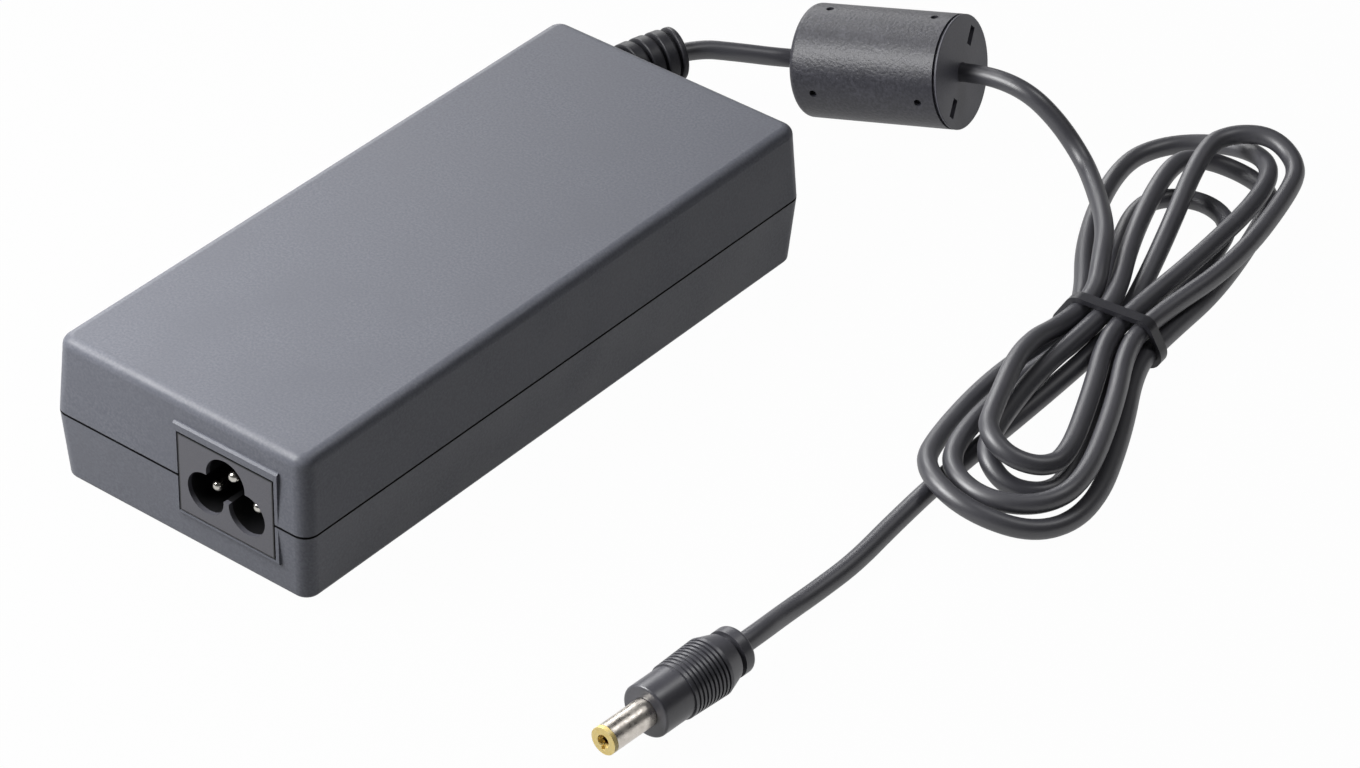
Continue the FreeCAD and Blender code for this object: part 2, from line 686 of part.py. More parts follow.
cover_length = s.choke_length - s.choke_cap_thick
cover_inside = s.choke_radius - s.choke_wall
cover = new_body("choke_cover")
outline(new_sketch(cover, "cover_section", "XY_Plane"), [
    (0, s.choke_mouth_radius),
    (0, s.choke_radius),
    (cover_length, s.choke_radius),
    (cover_length, cover_inside),
    (s.choke_wall, cover_inside),
    (s.choke_wall, s.choke_mouth_radius),
])
revolve(cover, doc.getObject("cover_section"), "cover_turned")
far_radius = s.choke_radius.number


def rim_at(x, radius):
    def wanted(edge):
        curve = edge.Curve
        if not isinstance(curve, Part.Circle):
            return False
        return abs(curve.Center.x - x) < 0.01 and abs(curve.Radius - radius) < 0.01
    return wanted


dress(cover, "Fillet", "cover_edge", rim_at(0, far_radius), "Radius", s.choke_edge_radius)
for number, inset in enumerate((s.choke_hole_inset, s.choke_hole_inset + s.choke_hole_spacing), 1):
    spot = new_sketch(cover, "cover_hole_%d_plan" % number, "XY_Plane", across=inset,
                      lift=s.choke_radius)
    drilled = pocket(cover, circle(spot, s.choke_hole_radius), "cover_hole_%d" % number,
                     s.choke_hole_depth)
    doc.recompute()
    pattern = cover.newObject("PartDesign::PolarPattern", "cover_holes_%d" % number)
    pattern.Originals = [drilled]
    pattern.Axis = (origin_part(cover, "X_Axis"), [""])
    pattern.Occurrences = 2
    pattern.Mode = "Spacing"
    bind(pattern, "Offset", s.choke_hole_spread)
    cover.Tip = pattern
on_choke(cover, s.choke_roll.number)

cap = new_body("choke_end_cap")
lip_radius = cover_inside - s.fit_gap
outline(new_sketch(cap, "cap_section", "XY_Plane"), [
    (cover_length - s.choke_cap_lip, s.cord_radius + s.fit_gap),
    (cover_length - s.choke_cap_lip, lip_radius),
    (cover_length, lip_radius),
    (cover_length, s.choke_radius - s.choke_seam_depth),
    (cover_length + s.choke_seam, s.choke_radius - s.choke_seam_depth),
    (cover_length + s.choke_seam, s.choke_radius),
    (s.choke_length, s.choke_radius),
    (s.choke_length, s.cord_radius + s.fit_gap),
])
revolve(cap, doc.getObject("cap_section"), "cap_turned")
dress(cap, "Fillet", "cap_edge", rim_at(s.choke_length.number, far_radius), "Radius",
      (s.choke_cap_thick - s.choke_seam) / 2)
slot = new_sketch(cap, "cap_slot_face", "YZ_Plane", up=s.choke_slot_middle, lift=s.choke_length)
slotted = pocket(cap, rectangle(slot, s.choke_slot_wide, s.choke_slot_long), "cap_slot",
                 s.choke_slot_depth)
doc.recompute()
pattern = cap.newObject("PartDesign::PolarPattern", "cap_slots")
pattern.Originals = [slotted]
pattern.Axis = (origin_part(cap, "X_Axis"), [""])
pattern.Occurrences = 2
pattern.Mode = "Spacing"
pattern.Offset = 180.0
cap.Tip = pattern
on_choke(cap, s.choke_slot_roll.number)

core = new_body("choke_ferrite_core")
core_start = s.choke_wall + s.fit_gap
core_end = cover_length - s.choke_cap_lip - s.fit_gap
outline(new_sketch(core, "core_section", "XY_Plane"), [
    (core_start, s.core_bore_radius),
    (core_start, cover_inside - s.choke_core_gap),
    (core_end, cover_inside - s.choke_core_gap),
    (core_end, s.core_bore_radius),
])
revolve(core, doc.getObject("core_section"), "core_turned")
on_choke(core, 0.0)

# The plug: moulding, barrel, insulator and centre contact, along one level axis.

plug_turn = FreeCAD.Rotation(s.plug_azimuth.number, 0, 0)
plug_axis = plug_turn.multVec(V(1, 0, 0))
plug_tip = V(s.plug_x.number, s.plug_y.number, s.handle_radius.number + 2 * s.fit_gap.number)


def on_plug(body):
    body.Placement = FreeCAD.Placement(plug_tip, plug_turn)


handle_start = s.barrel_exposed
held_end = s.barrel_exposed + s.barrel_held
bore_radius = s.barrel_radius + s.fit_gap
taper_start = handle_start + s.handle_length
collar_start = taper_start + s.handle_taper + s.collar_groove
collar_end = collar_start + s.collar_length
smooth_end = handle_start + s.handle_smooth
moulding = new_body("plug_overmould")
outline(new_sketch(moulding, "moulding_section", "XY_Plane"), [
    (held_end + s.fit_gap, 0),
    (held_end + s.fit_gap, bore_radius),
    (handle_start, bore_radius),
    (handle_start, s.handle_front_radius),
    (smooth_end, s.handle_front_radius),
    (smooth_end, s.handle_step_radius),
    (taper_start, s.handle_radius),
    (taper_start + s.handle_taper, s.collar_radius),
    (taper_start + s.handle_taper, s.collar_radius - s.collar_groove_depth),
    (collar_start, s.collar_radius - s.collar_groove_depth),
    (collar_start, s.collar_radius),
    (collar_end, s.collar_radius),
    (collar_end, 0),
])
revolve(moulding, doc.getObject("moulding_section"), "moulding_turned")
dress(moulding, "Fillet", "moulding_front",
      rim_at(handle_start.number, s.handle_front_radius.number), "Radius", s.handle_front)
dress(moulding, "Fillet", "moulding_back",
      rim_at(collar_end.number, s.collar_radius.number), "Radius", s.collar_round)
grip = new_sketch(moulding, "grip_section", "XY_Plane", across=handle_start + s.grip_start,
                  up=s.handle_radius)
rectangle(grip, s.grip_wide, 2 * (s.handle_radius - s.handle_step_radius + s.grip_deep))
groove = moulding.newObject("PartDesign::Groove", "grip_groove")
groove.Profile = grip
groove.ReferenceAxis = (origin_part(moulding, "X_Axis"), [""])
groove.Angle = 360.0
doc.recompute()
pattern = moulding.newObject("PartDesign::LinearPattern", "grip_grooves")
pattern.Originals = [groove]
pattern.Direction = (origin_part(moulding, "X_Axis"), [""])
pattern.Occurrences = 9
bind(pattern, "Length", s.grip_length)
moulding.Tip = pattern
on_plug(moulding)

barrel = new_body("plug_barrel")
barrel_inside = s.barrel_radius - s.barrel_wall
barrel_front = s.insulator_flange + s.fit_gap
groove_start = handle_start - s.barrel_groove_lead
outline(new_sketch(barrel, "barrel_section", "XY_Plane"), [
    (barrel_front, barrel_inside),
    (barrel_front, s.barrel_radius),
    (groove_start, s.barrel_radius),
    (groove_start, s.barrel_radius - s.barrel_groove_deep),
    (groove_start + s.barrel_groove_wide, s.barrel_radius - s.barrel_groove_deep),
    (groove_start + s.barrel_groove_wide, s.barrel_radius),
    (held_end, s.barrel_radius),
    (held_end, barrel_inside),
])
revolve(barrel, doc.getObject("barrel_section"), "barrel_turned")
on_plug(barrel)

insulator = new_body("plug_tip_insulator")
contact_radius = s.contact_bore + s.contact_wall
contact_front = s.insulator_lip
outline(new_sketch(insulator, "insulator_section", "XY_Plane"), [
    (0, s.insulator_mouth),
    (0, s.barrel_radius),
    (s.insulator_flange, s.barrel_radius),
    (s.insulator_flange, barrel_inside - s.fit_gap),
    (held_end, barrel_inside - s.fit_gap),
    (held_end, contact_radius + s.fit_gap),
    (contact_front, contact_radius + s.fit_gap),
    (contact_front, s.insulator_mouth),
])
revolve(insulator, doc.getObject("insulator_section"), "insulator_turned")
notch = new_sketch(insulator, "notch_face", "YZ_Plane", up=-s.insulator_mouth)
pocket(insulator, rectangle(notch, s.insulator_slot_wide, 2 * s.insulator_slot_deep), "notch",
       s.insulator_lip / 2, flip=True)
on_plug(insulator)

contact = new_body("plug_centre_contact")
outline(new_sketch(contact, "contact_section", "XY_Plane"), [
    (contact_front + s.fit_gap, s.contact_bore),
    (contact_front + s.fit_gap, contact_radius),
    (held_end, contact_radius),
    (held_end, s.contact_bore),
])
revolve(contact, doc.getObject("contact_section"), "contact_turned")
on_plug(contact)

# The cord. Its free stretches are straight runs joined by tangent arcs; the points are chosen to
# follow the cord as it lies. The hank is one unbroken tube on pairs of arcs.

cord = s.cord_radius.number


def straight_and_arcs(points):
    """Runs joined by arcs, each as large as its two runs allow. Returns the path and the radii."""
    edges = []
    radii = []
    here = points[0]
    for before, corner, after in zip(points, points[1:], points[2:]):
        arriving = corner - before
        leaving = after - corner
        half_turn = arriving.getAngle(leaving) / 2
        reach = 0.45 * min(arriving.Length, leaving.Length)
        radius = reach / math.tan(half_turn)
        radii.append(radius)
        first = corner - arriving.normalize() * reach
        last = corner + leaving.normalize() * reach
        inward = ((first + last) * 0.5 - corner).normalize()
        middle = corner + inward * (radius / math.cos(half_turn) - radius)
        edges.append(Part.LineSegment(here, first).toShape())
        edges.append(Part.Arc(first, middle, last).toShape())
        here = last
    edges.append(Part.LineSegment(here, points[-1]).toShape())
    return Part.Wire(edges), radii


def pair_of_arcs(a, corner, b):
    """Two arcs from a to b that leave a towards the corner and arrive from it at b."""
    t1 = (corner - a).normalize()
    t2 = (b - corner).normalize()
    gap = b - a
    both = t1 + t2
    square = both.dot(both) - 4
    linear = -2 * gap.dot(both)
    reach = (-linear - math.sqrt(linear * linear - 4 * square * gap.dot(gap))) / (2 * square)
    c1 = a + t1 * reach
    c2 = b - t2 * reach
    joint = (c1 + c2) * 0.5
    return [one_arc(a, c1, joint), one_arc(joint, c2, b)]


def one_arc(a, corner, b):
    """The arc that touches a to corner and corner to b, which are equally long."""
    middle = (a + b) * 0.5
    side = (corner - a).Length
    radius = side * (b - a).Length / 2 / (corner - middle).Length
    inward = (middle - corner).normalize()
    top = corner + inward * (math.hypot(side, radius) - radius)
    return Part.Arc(a, top, b).toShape(), radius


def tube(label, path, first, heading, radius):
    ring = Part.Wire([Part.Circle(first, heading, radius).toShape()])
    shell = Part.BRepOffsetAPI.MakePipeShell(path)
    shell.add(ring)
    shell.build()
    shell.makeSolid()
    solid = shell.shape()
    expected = math.pi * radius * radius * path.Length
    print(label, "length", round(path.Length, 1), "volume over section times length",
          round(solid.Volume / expected, 4))
    thing = node(doc.addObject("Part::Feature", label), label)
    thing.Shape = solid
    thing.Placement = FreeCAD.Placement()
    return path.Length


def cord_stretch(label, points, before=()):
    """A free stretch; the edges before it, if any, lead up to its first point."""
    path, radii = straight_and_arcs(points)
    print(label, "radii", [round(r, 1) for r in radii])
    if before:
        path = Part.Wire(list(before) + path.OrderedEdges)
        return tube(label, path, before[0].Vertexes[0].Point, along, cord)
    return tube(label, path, points[0], points[1] - points[0], cord)


relief_end, relief_heading = relief_spot(relief_exit_angle)
relief_middle = relief_spot(relief_exit_angle / 2)[0]
mouth_bend = choke_start + choke_axis * 1.4
choke_enter = choke_start + choke_axis * 9.4
choke_leave = choke_start + choke_axis * 28.0
choke_after = choke_start + choke_axis * 34.5

# From the boot's end to the choke.
to_choke = [
    relief_end,
    relief_end + relief_heading * 4.5,
    V(-10.6, 105.2, 14.9),
    V(-4.4, 111.7, 13.0),
    mouth_bend,
    choke_enter,
]

# From the choke to the hank.
to_hank = [
    choke_leave,
    choke_after,
    V(41.0, 124.4, 20.6),
    V(48.6, 124.6, 20.0),
    V(54.4, 125.9, 15.6),
    V(59.6, 126.2, 10.6),
    V(65.2, 123.4, 7.6),
]

# From the hank along the floor to the plug.
plug_end = plug_tip + plug_axis * collar_end.number
from_hank = [
    V(98.4, 12.6, 2.0),
    V(99.9, -0.6, 2.0),
    V(99.7, -11.6, 2.05),
    V(99.6, -21.0, 2.6),
    plug_end + plug_axis * 5.2,
    plug_end,
]

# The hank, in its own directions: across it, along it from the tie, and up.
# Each turn names where its strands lie in the tie, then each of its two loops: the loop's middle,
# its reach from the tie, its radius, five heights along its bend, and the two straight legs halfway.
HANK_TURNS = [
    dict(down=(0, 1), up=(2, 1),
         near=(6.4, 43.4, 7.5, (11.0, 11.0, 9.0, 7.2, 6.7), (-7.5, 11.0), (8.2, 7.1)),
         far=(-11.6, 56.4, 14.9, (6.7, 6.6, 3.6, 2.0, 2.0), (4.4, 7.2), (-21.0, 2.1))),
    dict(down=(0, 0), up=(4, 0),
         near=(6.6, 49.8, 15.6, (4.2, 7.2, 6.0, 2.2, 2.0), (-12.6, 2.1), (16.8, 2.1)),
         far=(-5.2, 55.6, 10.2, (2.0, 2.0, 2.0, 4.8, 7.0), (9.6, 2.0), (-10.4, 6.6))),
    dict(down=(1, 1), up=(3, 0),
         near=(7.1, 44.4, 7.6, (6.7, 5.8, 3.0, 2.1, 2.0), (-3.5, 6.6), (8.8, 2.1)),
         far=(-7.4, 43.0, 9.4, (2.0, 2.0, 2.0, 2.0, 2.0), (4.2, 2.1), (-11.4, 2.1))),
    dict(down=(1, 0), up=(3, 1),
         near=(7.2, 48.0, 11.9, (6.4, 7.0, 6.4, 6.5, 6.6), (-7.7, 3.0), (14.3, 6.8)),
         far=(-1.6, 60.8, 9.3, (7.0, 8.0, 10.2, 9.8, 9.6), (11.6, 7.6), (-4.6, 5.6))),
]
WAY_IN = [(-18.6, 29.4, 6.8), (-14.2, 18.4, 8.0)]
WAY_OUT = [(-2.0, -28.0, 2.0), (-4.6, -56.0, 2.0)]
LOOP_STEP = 47.5

hank_angle = math.radians(s.hank_azimuth.number)
hank_along = V(math.cos(hank_angle), math.sin(hank_angle), 0)
hank_across = V(math.sin(hank_angle), -math.cos(hank_angle), 0)
tie_middle = V(s.tie_x.number, s.tie_y.number, 0)
hold = s.tie_hold.number
strand_heights = (s.strand_low.number, s.strand_high.number)


def in_hank(across, reach, z):
    return tie_middle + hank_across * across + hank_along * reach + V(0, 0, z)


def strand(spot):
    """Where a strand lies in the tie: its place in the row, and which of the two rows.

    The upper strands lie over the gaps between the lower ones.
    """
    across = s.strand_first.number + (spot[0] + 0.5 * spot[1]) * s.strand_step.number
    return across, strand_heights[spot[1]]


def loop(side, first_angle, form):
    middle, reach, radius, heights, first_leg, second_leg = form
    points = [in_hank(first_leg[0], side * 0.5 * reach, first_leg[1])]
    spread = radius / math.cos(math.radians(LOOP_STEP / 2))
    for k, z in enumerate(heights):
        a = math.radians(first_angle + LOOP_STEP * k)
        points.append(in_hank(middle + spread * math.cos(a), side * reach + spread * math.sin(a), z))
    points.append(in_hank(second_leg[0], side * 0.5 * reach, second_leg[1]))
    return points


def hank_points():
    points = [in_hank(*spot) for spot in WAY_IN]
    for turn in HANK_TURNS:
        across, z = strand(turn["down"])
        points += [in_hank(across, hold, z), in_hank(across, -hold, z)]
        points += loop(-1, 175, turn["near"])
        across, z = strand(turn["up"])
        points += [in_hank(across, -hold, z), in_hank(across, hold, z)]
        points += loop(1, -5, turn["far"])
    across, z = strand((2, 0))
    points += [in_hank(across, hold, z), in_hank(across, -hold, z)]
    points += [in_hank(*spot) for spot in WAY_OUT]
    return points


turns = hank_points()
hank_start = (to_hank[-1] + turns[0]) * 0.5
hank_end = (turns[-1] + from_hank[0]) * 0.5


def hank_path():
    route = [hank_start] + turns + [hank_end]
    begin = route[0] + (route[1] - route[0]).normalize() * 2 * cord
    finish = route[-1] - (route[-1] - route[-2]).normalize() * 2 * cord
    stops = [begin] + [(a + b) * 0.5 for a, b in zip(route[1:], route[2:-1])] + [finish]
    edges = [Part.LineSegment(route[0], begin).toShape()]
    radii = []
    for a, corner, b in zip(stops, route[1:], stops[1:]):
        for edge, radius in pair_of_arcs(a, corner, b):
            edges.append(edge)
            radii.append(radius)
    edges.append(Part.LineSegment(finish, route[-1]).toShape())
    return Part.Wire(edges), radii


def least_gap(path, diameter):
    """Least gap of the tube to itself, measured between points 1 mm apart along it."""
    spots = []
    for edge in path.OrderedEdges:
        count = max(2, int(edge.Length) + 1)
        spots += edge.discretize(count)[:-1]
    run = [0.0]
    for a, b in zip(spots, spots[1:]):
        run.append(run[-1] + (b - a).Length)
    least = 1e9
    for i, a in enumerate(spots):
        for j in range(i + 1, len(spots)):
            if run[j] - run[i] > 4 * diameter:
                least = min(least, (spots[j] - a).Length)
    return least - diameter


# The cord begins inside the case and follows the boot's own bend.
inside_boot = [
    Part.LineSegment(root - along * s.cord_inside.number, root).toShape(),
    Part.Arc(root, relief_middle, relief_end).toShape(),
]
first_length = cord_stretch("cord_to_choke", to_choke, inside_boot)
held_length = choke_leave.distanceToPoint(choke_enter)
in_choke = node(doc.addObject("Part::Cylinder", "cord_in_choke"), "cord_in_choke")
bind(in_choke, "Radius", s.cord_radius)
in_choke.Height = held_length
in_choke.Placement = FreeCAD.Placement(choke_enter, FreeCAD.Rotation(V(0, 0, 1), choke_axis))
second_length = cord_stretch("cord_to_hank", to_hank + [hank_start])
path, radii = hank_path()
hank_length = tube("cord_hank", path, hank_start, turns[0] - hank_start, cord)
print("cord_hank least radius", round(min(radii), 1), "least gap", round(least_gap(path, 2 * cord), 2))
third_length = cord_stretch("cord_to_plug", [hank_end] + from_hank)
total = first_length + held_length + second_length + hank_length + third_length
print("cord, whole length", round(total, 1))

# The tie: a strap round the strands.


def belt(spots, radius):
    """The face inside a belt drawn tight round circles of one radius at these spots."""
    edges = []
    count = len(spots)
    for k in range(count):
        before = spots[k - 1]
        here = spots[k]
        after = spots[(k + 1) % count]
        out = hank_along.cross((here - before).normalize()) * radius
        out_next = hank_along.cross((after - here).normalize()) * radius
        turn = (out + out_next).normalize() * radius
        edges.append(Part.Arc(here + out, here + turn, here + out_next).toShape())
        edges.append(Part.LineSegment(here + out_next, after + out_next).toShape())
    return Part.Face(Part.Wire(edges))


outer_strands = [in_hank(strand(spot)[0], -s.tie_wide.number / 2, strand(spot)[1])
                 for spot in ((0, 0), (4, 0), (3, 1), (0, 1))]
inside_radius = cord + s.tie_gap.number
width = hank_along * s.tie_wide.number
strap_outside = belt(outer_strands, inside_radius + s.tie_thick.number).extrude(width)
strap_inside = belt(outer_strands, inside_radius).extrude(width)
strap = node(doc.addObject("Part::Feature", "cable_tie"), "cable_tie")
strap.Shape = strap_outside.cut(strap_inside)
strap.Placement = FreeCAD.Placement()

# Inside the case: the board and what stands on it.

node(box("circuit_board", (board_width, board_length, s.board_thick),
         (-board_width / 2, board_start, board_z)), "circuit_board")

sheet_width = board_width - 2 * s.sheet_gap
sheet_length = board_length - 2 * s.sheet_gap
sheet_plain = box("sheet_plain", (sheet_width, sheet_length, s.sheet_thick),
                  (-sheet_width / 2, board_start + s.sheet_gap, s.flat_wall))
sheet_holes = [rod("sheet_hole_%d" % number, s.post_radius + s.sheet_gap, s.board_lift,
                   (post_x * side, board_middle + post_y * end, s.flat_wall - s.sheet_gap))
               for number, (side, end) in enumerate(((-1, -1), (1, -1), (1, 1), (-1, 1)), 1)]
node(cut("insulation_sheet", sheet_plain, fuse("sheet_holes", sheet_holes)), "insulation_sheet")

shield_width = s.case_width - 2 * (s.side_wall + s.upper_draft + s.shield_side_gap)
shield_length = s.case_length - 2 * (s.side_wall + s.upper_draft + s.shield_end_gap)
node(box("upper_shield", (shield_width, shield_length, s.shield_thick),
         (-shield_width / 2, -shield_length / 2, shield_under)), "upper_shield")

sink_height = shield_under - s.sink_headroom - board_top
secondary_sink_start = board_length - s.secondary_sink_back - s.secondary_sink_length


def heat_sink(label, side, start, length):
    """An angle of sheet metal that stands on the board, its foot turned to the case's side."""
    plate_x = (board_width / 2 - s.sink_inset) * side - s.sink_thick / 2
    foot_x = plate_x if side > 0 else plate_x + s.sink_thick - s.sink_foot
    plate = box(label + "_plate", (s.sink_thick, length, sink_height),
                (plate_x, board_start + start, board_top))
    foot = box(label + "_foot", (s.sink_foot, length, s.sink_thick),
               (foot_x, board_start + start, board_top))
    node(fuse(label, [plate, foot]), label)
    return plate_x + s.sink_thick if side < 0 else plate_x


primary_face = heat_sink("primary_heat_sink", -1, s.primary_sink_start, s.primary_sink_length)
secondary_face = heat_sink("secondary_heat_sink", 1, secondary_sink_start, s.secondary_sink_length)


def device(label, face_x, side, start, width, thick, height):
    """A flat device against a heat sink, on legs."""
    corner_x = face_x if side < 0 else face_x - thick
    block = box(label + "_block", (thick, width, height),
                (corner_x, board_start + start, board_top + s.device_lift))
    legs = [rod("%s_leg_%d" % (label, k), s.leg_radius, 2 * s.device_lift,
                (corner_x + thick / 2, board_start + start + width * (0.25 * k), board_top))
            for k in (1, 2, 3)]
    node(fuse(label, [block] + legs), label)


device("bridge_rectifier", primary_face, -1, s.primary_sink_start + s.bridge_start,
       s.bridge_width, s.bridge_thick, s.device_height)
device("switching_transistor", primary_face, -1,
       s.primary_sink_start + s.primary_sink_length - s.transistor_end - s.device_width,
       s.device_width, s.device_thick, s.device_height)
device("output_rectifier", secondary_face, 1, secondary_sink_start + s.rectifier_start,
       s.device_width, s.device_thick, s.device_height)

core_front = board_length - s.core_back - s.core_length
bulk_length = core_front - s.winding_over - s.bulk_gap - s.bulk_start
node(rod("bulk_capacitor", s.bulk_radius, bulk_length,
         (board_width / 2 - s.bulk_edge, board_start + s.bulk_start, board_top + s.bulk_radius),
         "y"), "bulk_capacitor")

core_corner = (s.core_x - s.core_width / 2, board_start + core_front, board_top)
core_height = shield_under - s.core_headroom - board_top
window = (s.core_width - 2 * s.core_leg - s.core_centre) / 2
window_height = core_height - 2 * s.core_leg
core_block = box("core_block", (s.core_width, s.core_length, core_height), core_corner)
windows = []
for number, left in enumerate((s.core_leg, s.core_leg + window + s.core_centre), 1):
    corner = (core_corner[0] + left, core_corner[1] - 1, core_corner[2] + s.core_leg)
    windows.append(box("core_window_%d" % number, (window, s.core_length + 2, window_height), corner))
node(cut("transformer_core", core_block, fuse("core_windows", windows)), "transformer_core")

# The winding goes round the middle leg and out past both ends of the core.
winding_block = box("winding_block",
                    (s.core_width - 2 * s.core_leg - 2 * s.winding_gap,
                     s.core_length + 2 * s.winding_over, window_height - 2 * s.winding_gap),
                    (core_corner[0] + s.core_leg + s.winding_gap,
                     core_corner[1] - s.winding_over,
                     core_corner[2] + s.core_leg + s.winding_gap))
leg_hole = box("winding_hole",
               (s.core_centre + 2 * s.winding_gap, s.core_length + 2 * s.winding_gap,
                core_height),
               (s.core_x - s.core_centre / 2 - s.winding_gap, core_corner[1] - s.winding_gap,
                core_corner[2]))
node(cut("transformer_winding", winding_block, leg_hole), "transformer_winding")

filter_x = board_width / 2 - s.filter_edge
filter_y = board_start + s.filter_start
node(rod("line_filter_base", s.filter_radius, s.filter_base, (filter_x, filter_y, board_top)),
     "line_filter_base")
filter_ring = rod("filter_ring", s.filter_radius, s.filter_height,
                  (filter_x, filter_y, board_top + s.filter_base))
filter_hole = rod("filter_hole", s.filter_bore, 2 * s.filter_height,
                  (filter_x, filter_y, board_top + s.filter_base - s.filter_height / 2))
node(cut("line_filter_core", filter_ring, filter_hole), "line_filter_core")

fuse_x = s.fuse_edge - board_width / 2
thermistor_x = fuse_x + s.thermistor_step
x_cap_x = thermistor_x + s.x_cap_step
node(box("interference_capacitor", (s.x_cap_width, s.x_cap_length, s.x_cap_height),
         (x_cap_x - s.x_cap_width / 2, board_start + s.x_cap_start, board_top)),
     "interference_capacitor")
node(rod("fuse", s.fuse_radius, s.fuse_length,
         (fuse_x, board_start + s.x_cap_start, board_top + s.fuse_radius), "y"), "fuse")


def standing_disc(label, x, y):
    node(rod(label, s.disc_radius, s.disc_thick, (x - s.disc_thick / 2, y, board_top + s.disc_radius),
             "x"), label)


y_cap_y = board_start + s.x_cap_start + s.x_cap_length + s.y_cap_gap + s.disc_radius
board_back_edge = board_start + board_length
standing_disc("thermistor", thermistor_x, board_start + s.thermistor_start)
standing_disc("disc_capacitor_front", x_cap_x, y_cap_y)
standing_disc("disc_capacitor_back", x_cap_x, y_cap_y + s.y_cap_step)
node(box("optocoupler", (s.opto_width, s.opto_length, s.opto_height),
         (-s.output_cap_x - s.opto_width, board_back_edge - s.opto_back, board_top)), "optocoupler")
output_cap_height = shield_under - s.output_cap_headroom - board_top
output_cap_y = board_back_edge - s.output_cap_back
node(rod("output_capacitor_front", s.output_cap_radius, output_cap_height,
         (s.output_cap_x, output_cap_y - s.output_cap_step, board_top)), "output_capacitor_front")
node(rod("output_capacitor_back", s.output_cap_radius, output_cap_height,
         (s.output_cap_x, output_cap_y, board_top)), "output_capacitor_back")
node(rod("output_inductor", s.inductor_radius, s.inductor_height,
         (-s.output_cap_x - s.inductor_radius / 2, board_back_edge - s.inductor_back, board_top)),
     "output_inductor")

# Two leads from the cord's end, forward and down to the board.
cord_end = root - along * s.cord_inside.number
for label, side in (("output_lead_positive", -1), ("output_lead_negative", 1)):
    begin = cord_end + V(side * s.lead_spread.number, 0, 0)
    corner = begin - along * s.lead_reach.number
    foot = V(corner.x, corner.y, board_top.number)
    turn = s.lead_bend.number
    slant = turn * (1 - math.sqrt(0.5))
    bent = Part.Wire([
        Part.LineSegment(begin, corner + along * turn).toShape(),
        Part.Arc(corner + along * turn, corner + V(0, slant, -slant),
                 corner - V(0, 0, turn)).toShape(),
        Part.LineSegment(corner - V(0, 0, turn), foot).toShape(),
    ])
    tube(label, bent, begin, -along, s.lead_radius.number)

doc.recompute()

# Every object has to be sound before anything is written.
for thing in doc.Objects:
    for state in thing.State:
        if "Invalid" in state or "Error" in state:
            raise RuntimeError("%s is %s" % (thing.Name, state))
for thing in doc.Objects:
    if thing.TypeId in ("PartDesign::Pocket", "PartDesign::Groove"):
        removed = thing.BaseFeature.Shape.Volume - thing.Shape.Volume
        if removed < 0.01:
            raise RuntimeError("%s cuts nothing" % thing.Name)
for thing in nodes:
    shape = thing.Shape
    if shape.isNull() or not shape.isValid() or len(shape.Solids) != 1:
        raise RuntimeError("%s is not one sound solid" % thing.Label)

os.makedirs("parts", exist_ok=True)
for thing in nodes:
    thing.Shape.exportStep("parts/%s.step" % thing.Label)
print(len(nodes), "pieces written")
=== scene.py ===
import math

import bmesh
import bpy
from bpy.props import FloatProperty, FloatVectorProperty, PointerProperty
from mathutils import Matrix, Vector


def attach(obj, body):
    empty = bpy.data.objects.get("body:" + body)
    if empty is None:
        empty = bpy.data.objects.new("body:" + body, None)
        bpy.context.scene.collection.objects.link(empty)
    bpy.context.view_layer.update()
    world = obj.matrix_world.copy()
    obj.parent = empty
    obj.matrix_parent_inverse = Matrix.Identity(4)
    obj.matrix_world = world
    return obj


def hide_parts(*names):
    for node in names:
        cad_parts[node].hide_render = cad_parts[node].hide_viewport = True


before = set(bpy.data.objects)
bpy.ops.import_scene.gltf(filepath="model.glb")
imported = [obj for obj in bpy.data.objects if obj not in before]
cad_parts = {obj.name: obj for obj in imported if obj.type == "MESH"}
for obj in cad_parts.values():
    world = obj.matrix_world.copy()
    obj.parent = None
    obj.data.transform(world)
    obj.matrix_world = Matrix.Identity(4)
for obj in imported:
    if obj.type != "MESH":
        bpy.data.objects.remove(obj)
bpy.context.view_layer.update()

bl_info = {
    "name": "Laptop power adapter",
    "version": (1, 0, 0),
    "blender": (4, 5, 0),
    "location": "3D View > Sidebar > Power adapter",
    "description": "Cord, finishes and studio for a laptop power adapter built as CAD solids",
    "category": "Object",
}

MM = 0.001
BODY = "root"

# The cord's route in metres, from inside the case to the choke and on to the hank.
CORD_POINTS_TO_HANK = [
    (-0.0232, 0.0660, 0.0160),
    (-0.0232, 0.08432, 0.0160),
    (-0.017087, 0.099448, 0.0160),
    (-0.0106, 0.1052, 0.0149),
    (-0.0044, 0.1117, 0.0130),
    (0.001342, 0.117761, 0.011824),
    (0.009009, 0.119251, 0.013556),
    (0.026834, 0.122716, 0.017582),
    (0.033063, 0.123927, 0.018989),
    (0.0410, 0.1244, 0.0206),
    (0.0486, 0.1246, 0.0200),
    (0.0544, 0.1259, 0.0156),
    (0.0596, 0.1262, 0.0106),
    (0.0652, 0.1234, 0.0080),
]

# From the hank along the floor and into the plug's collar.
CORD_POINTS_TO_PLUG = [
    (0.0984, 0.0126, 0.0020),
    (0.0999, -0.0006, 0.0020),
    (0.0997, -0.0116, 0.00205),
    (0.0996, -0.0210, 0.0026),
    (0.101838, -0.032563, 0.00595),
    (0.101464, -0.039252, 0.00595),
]

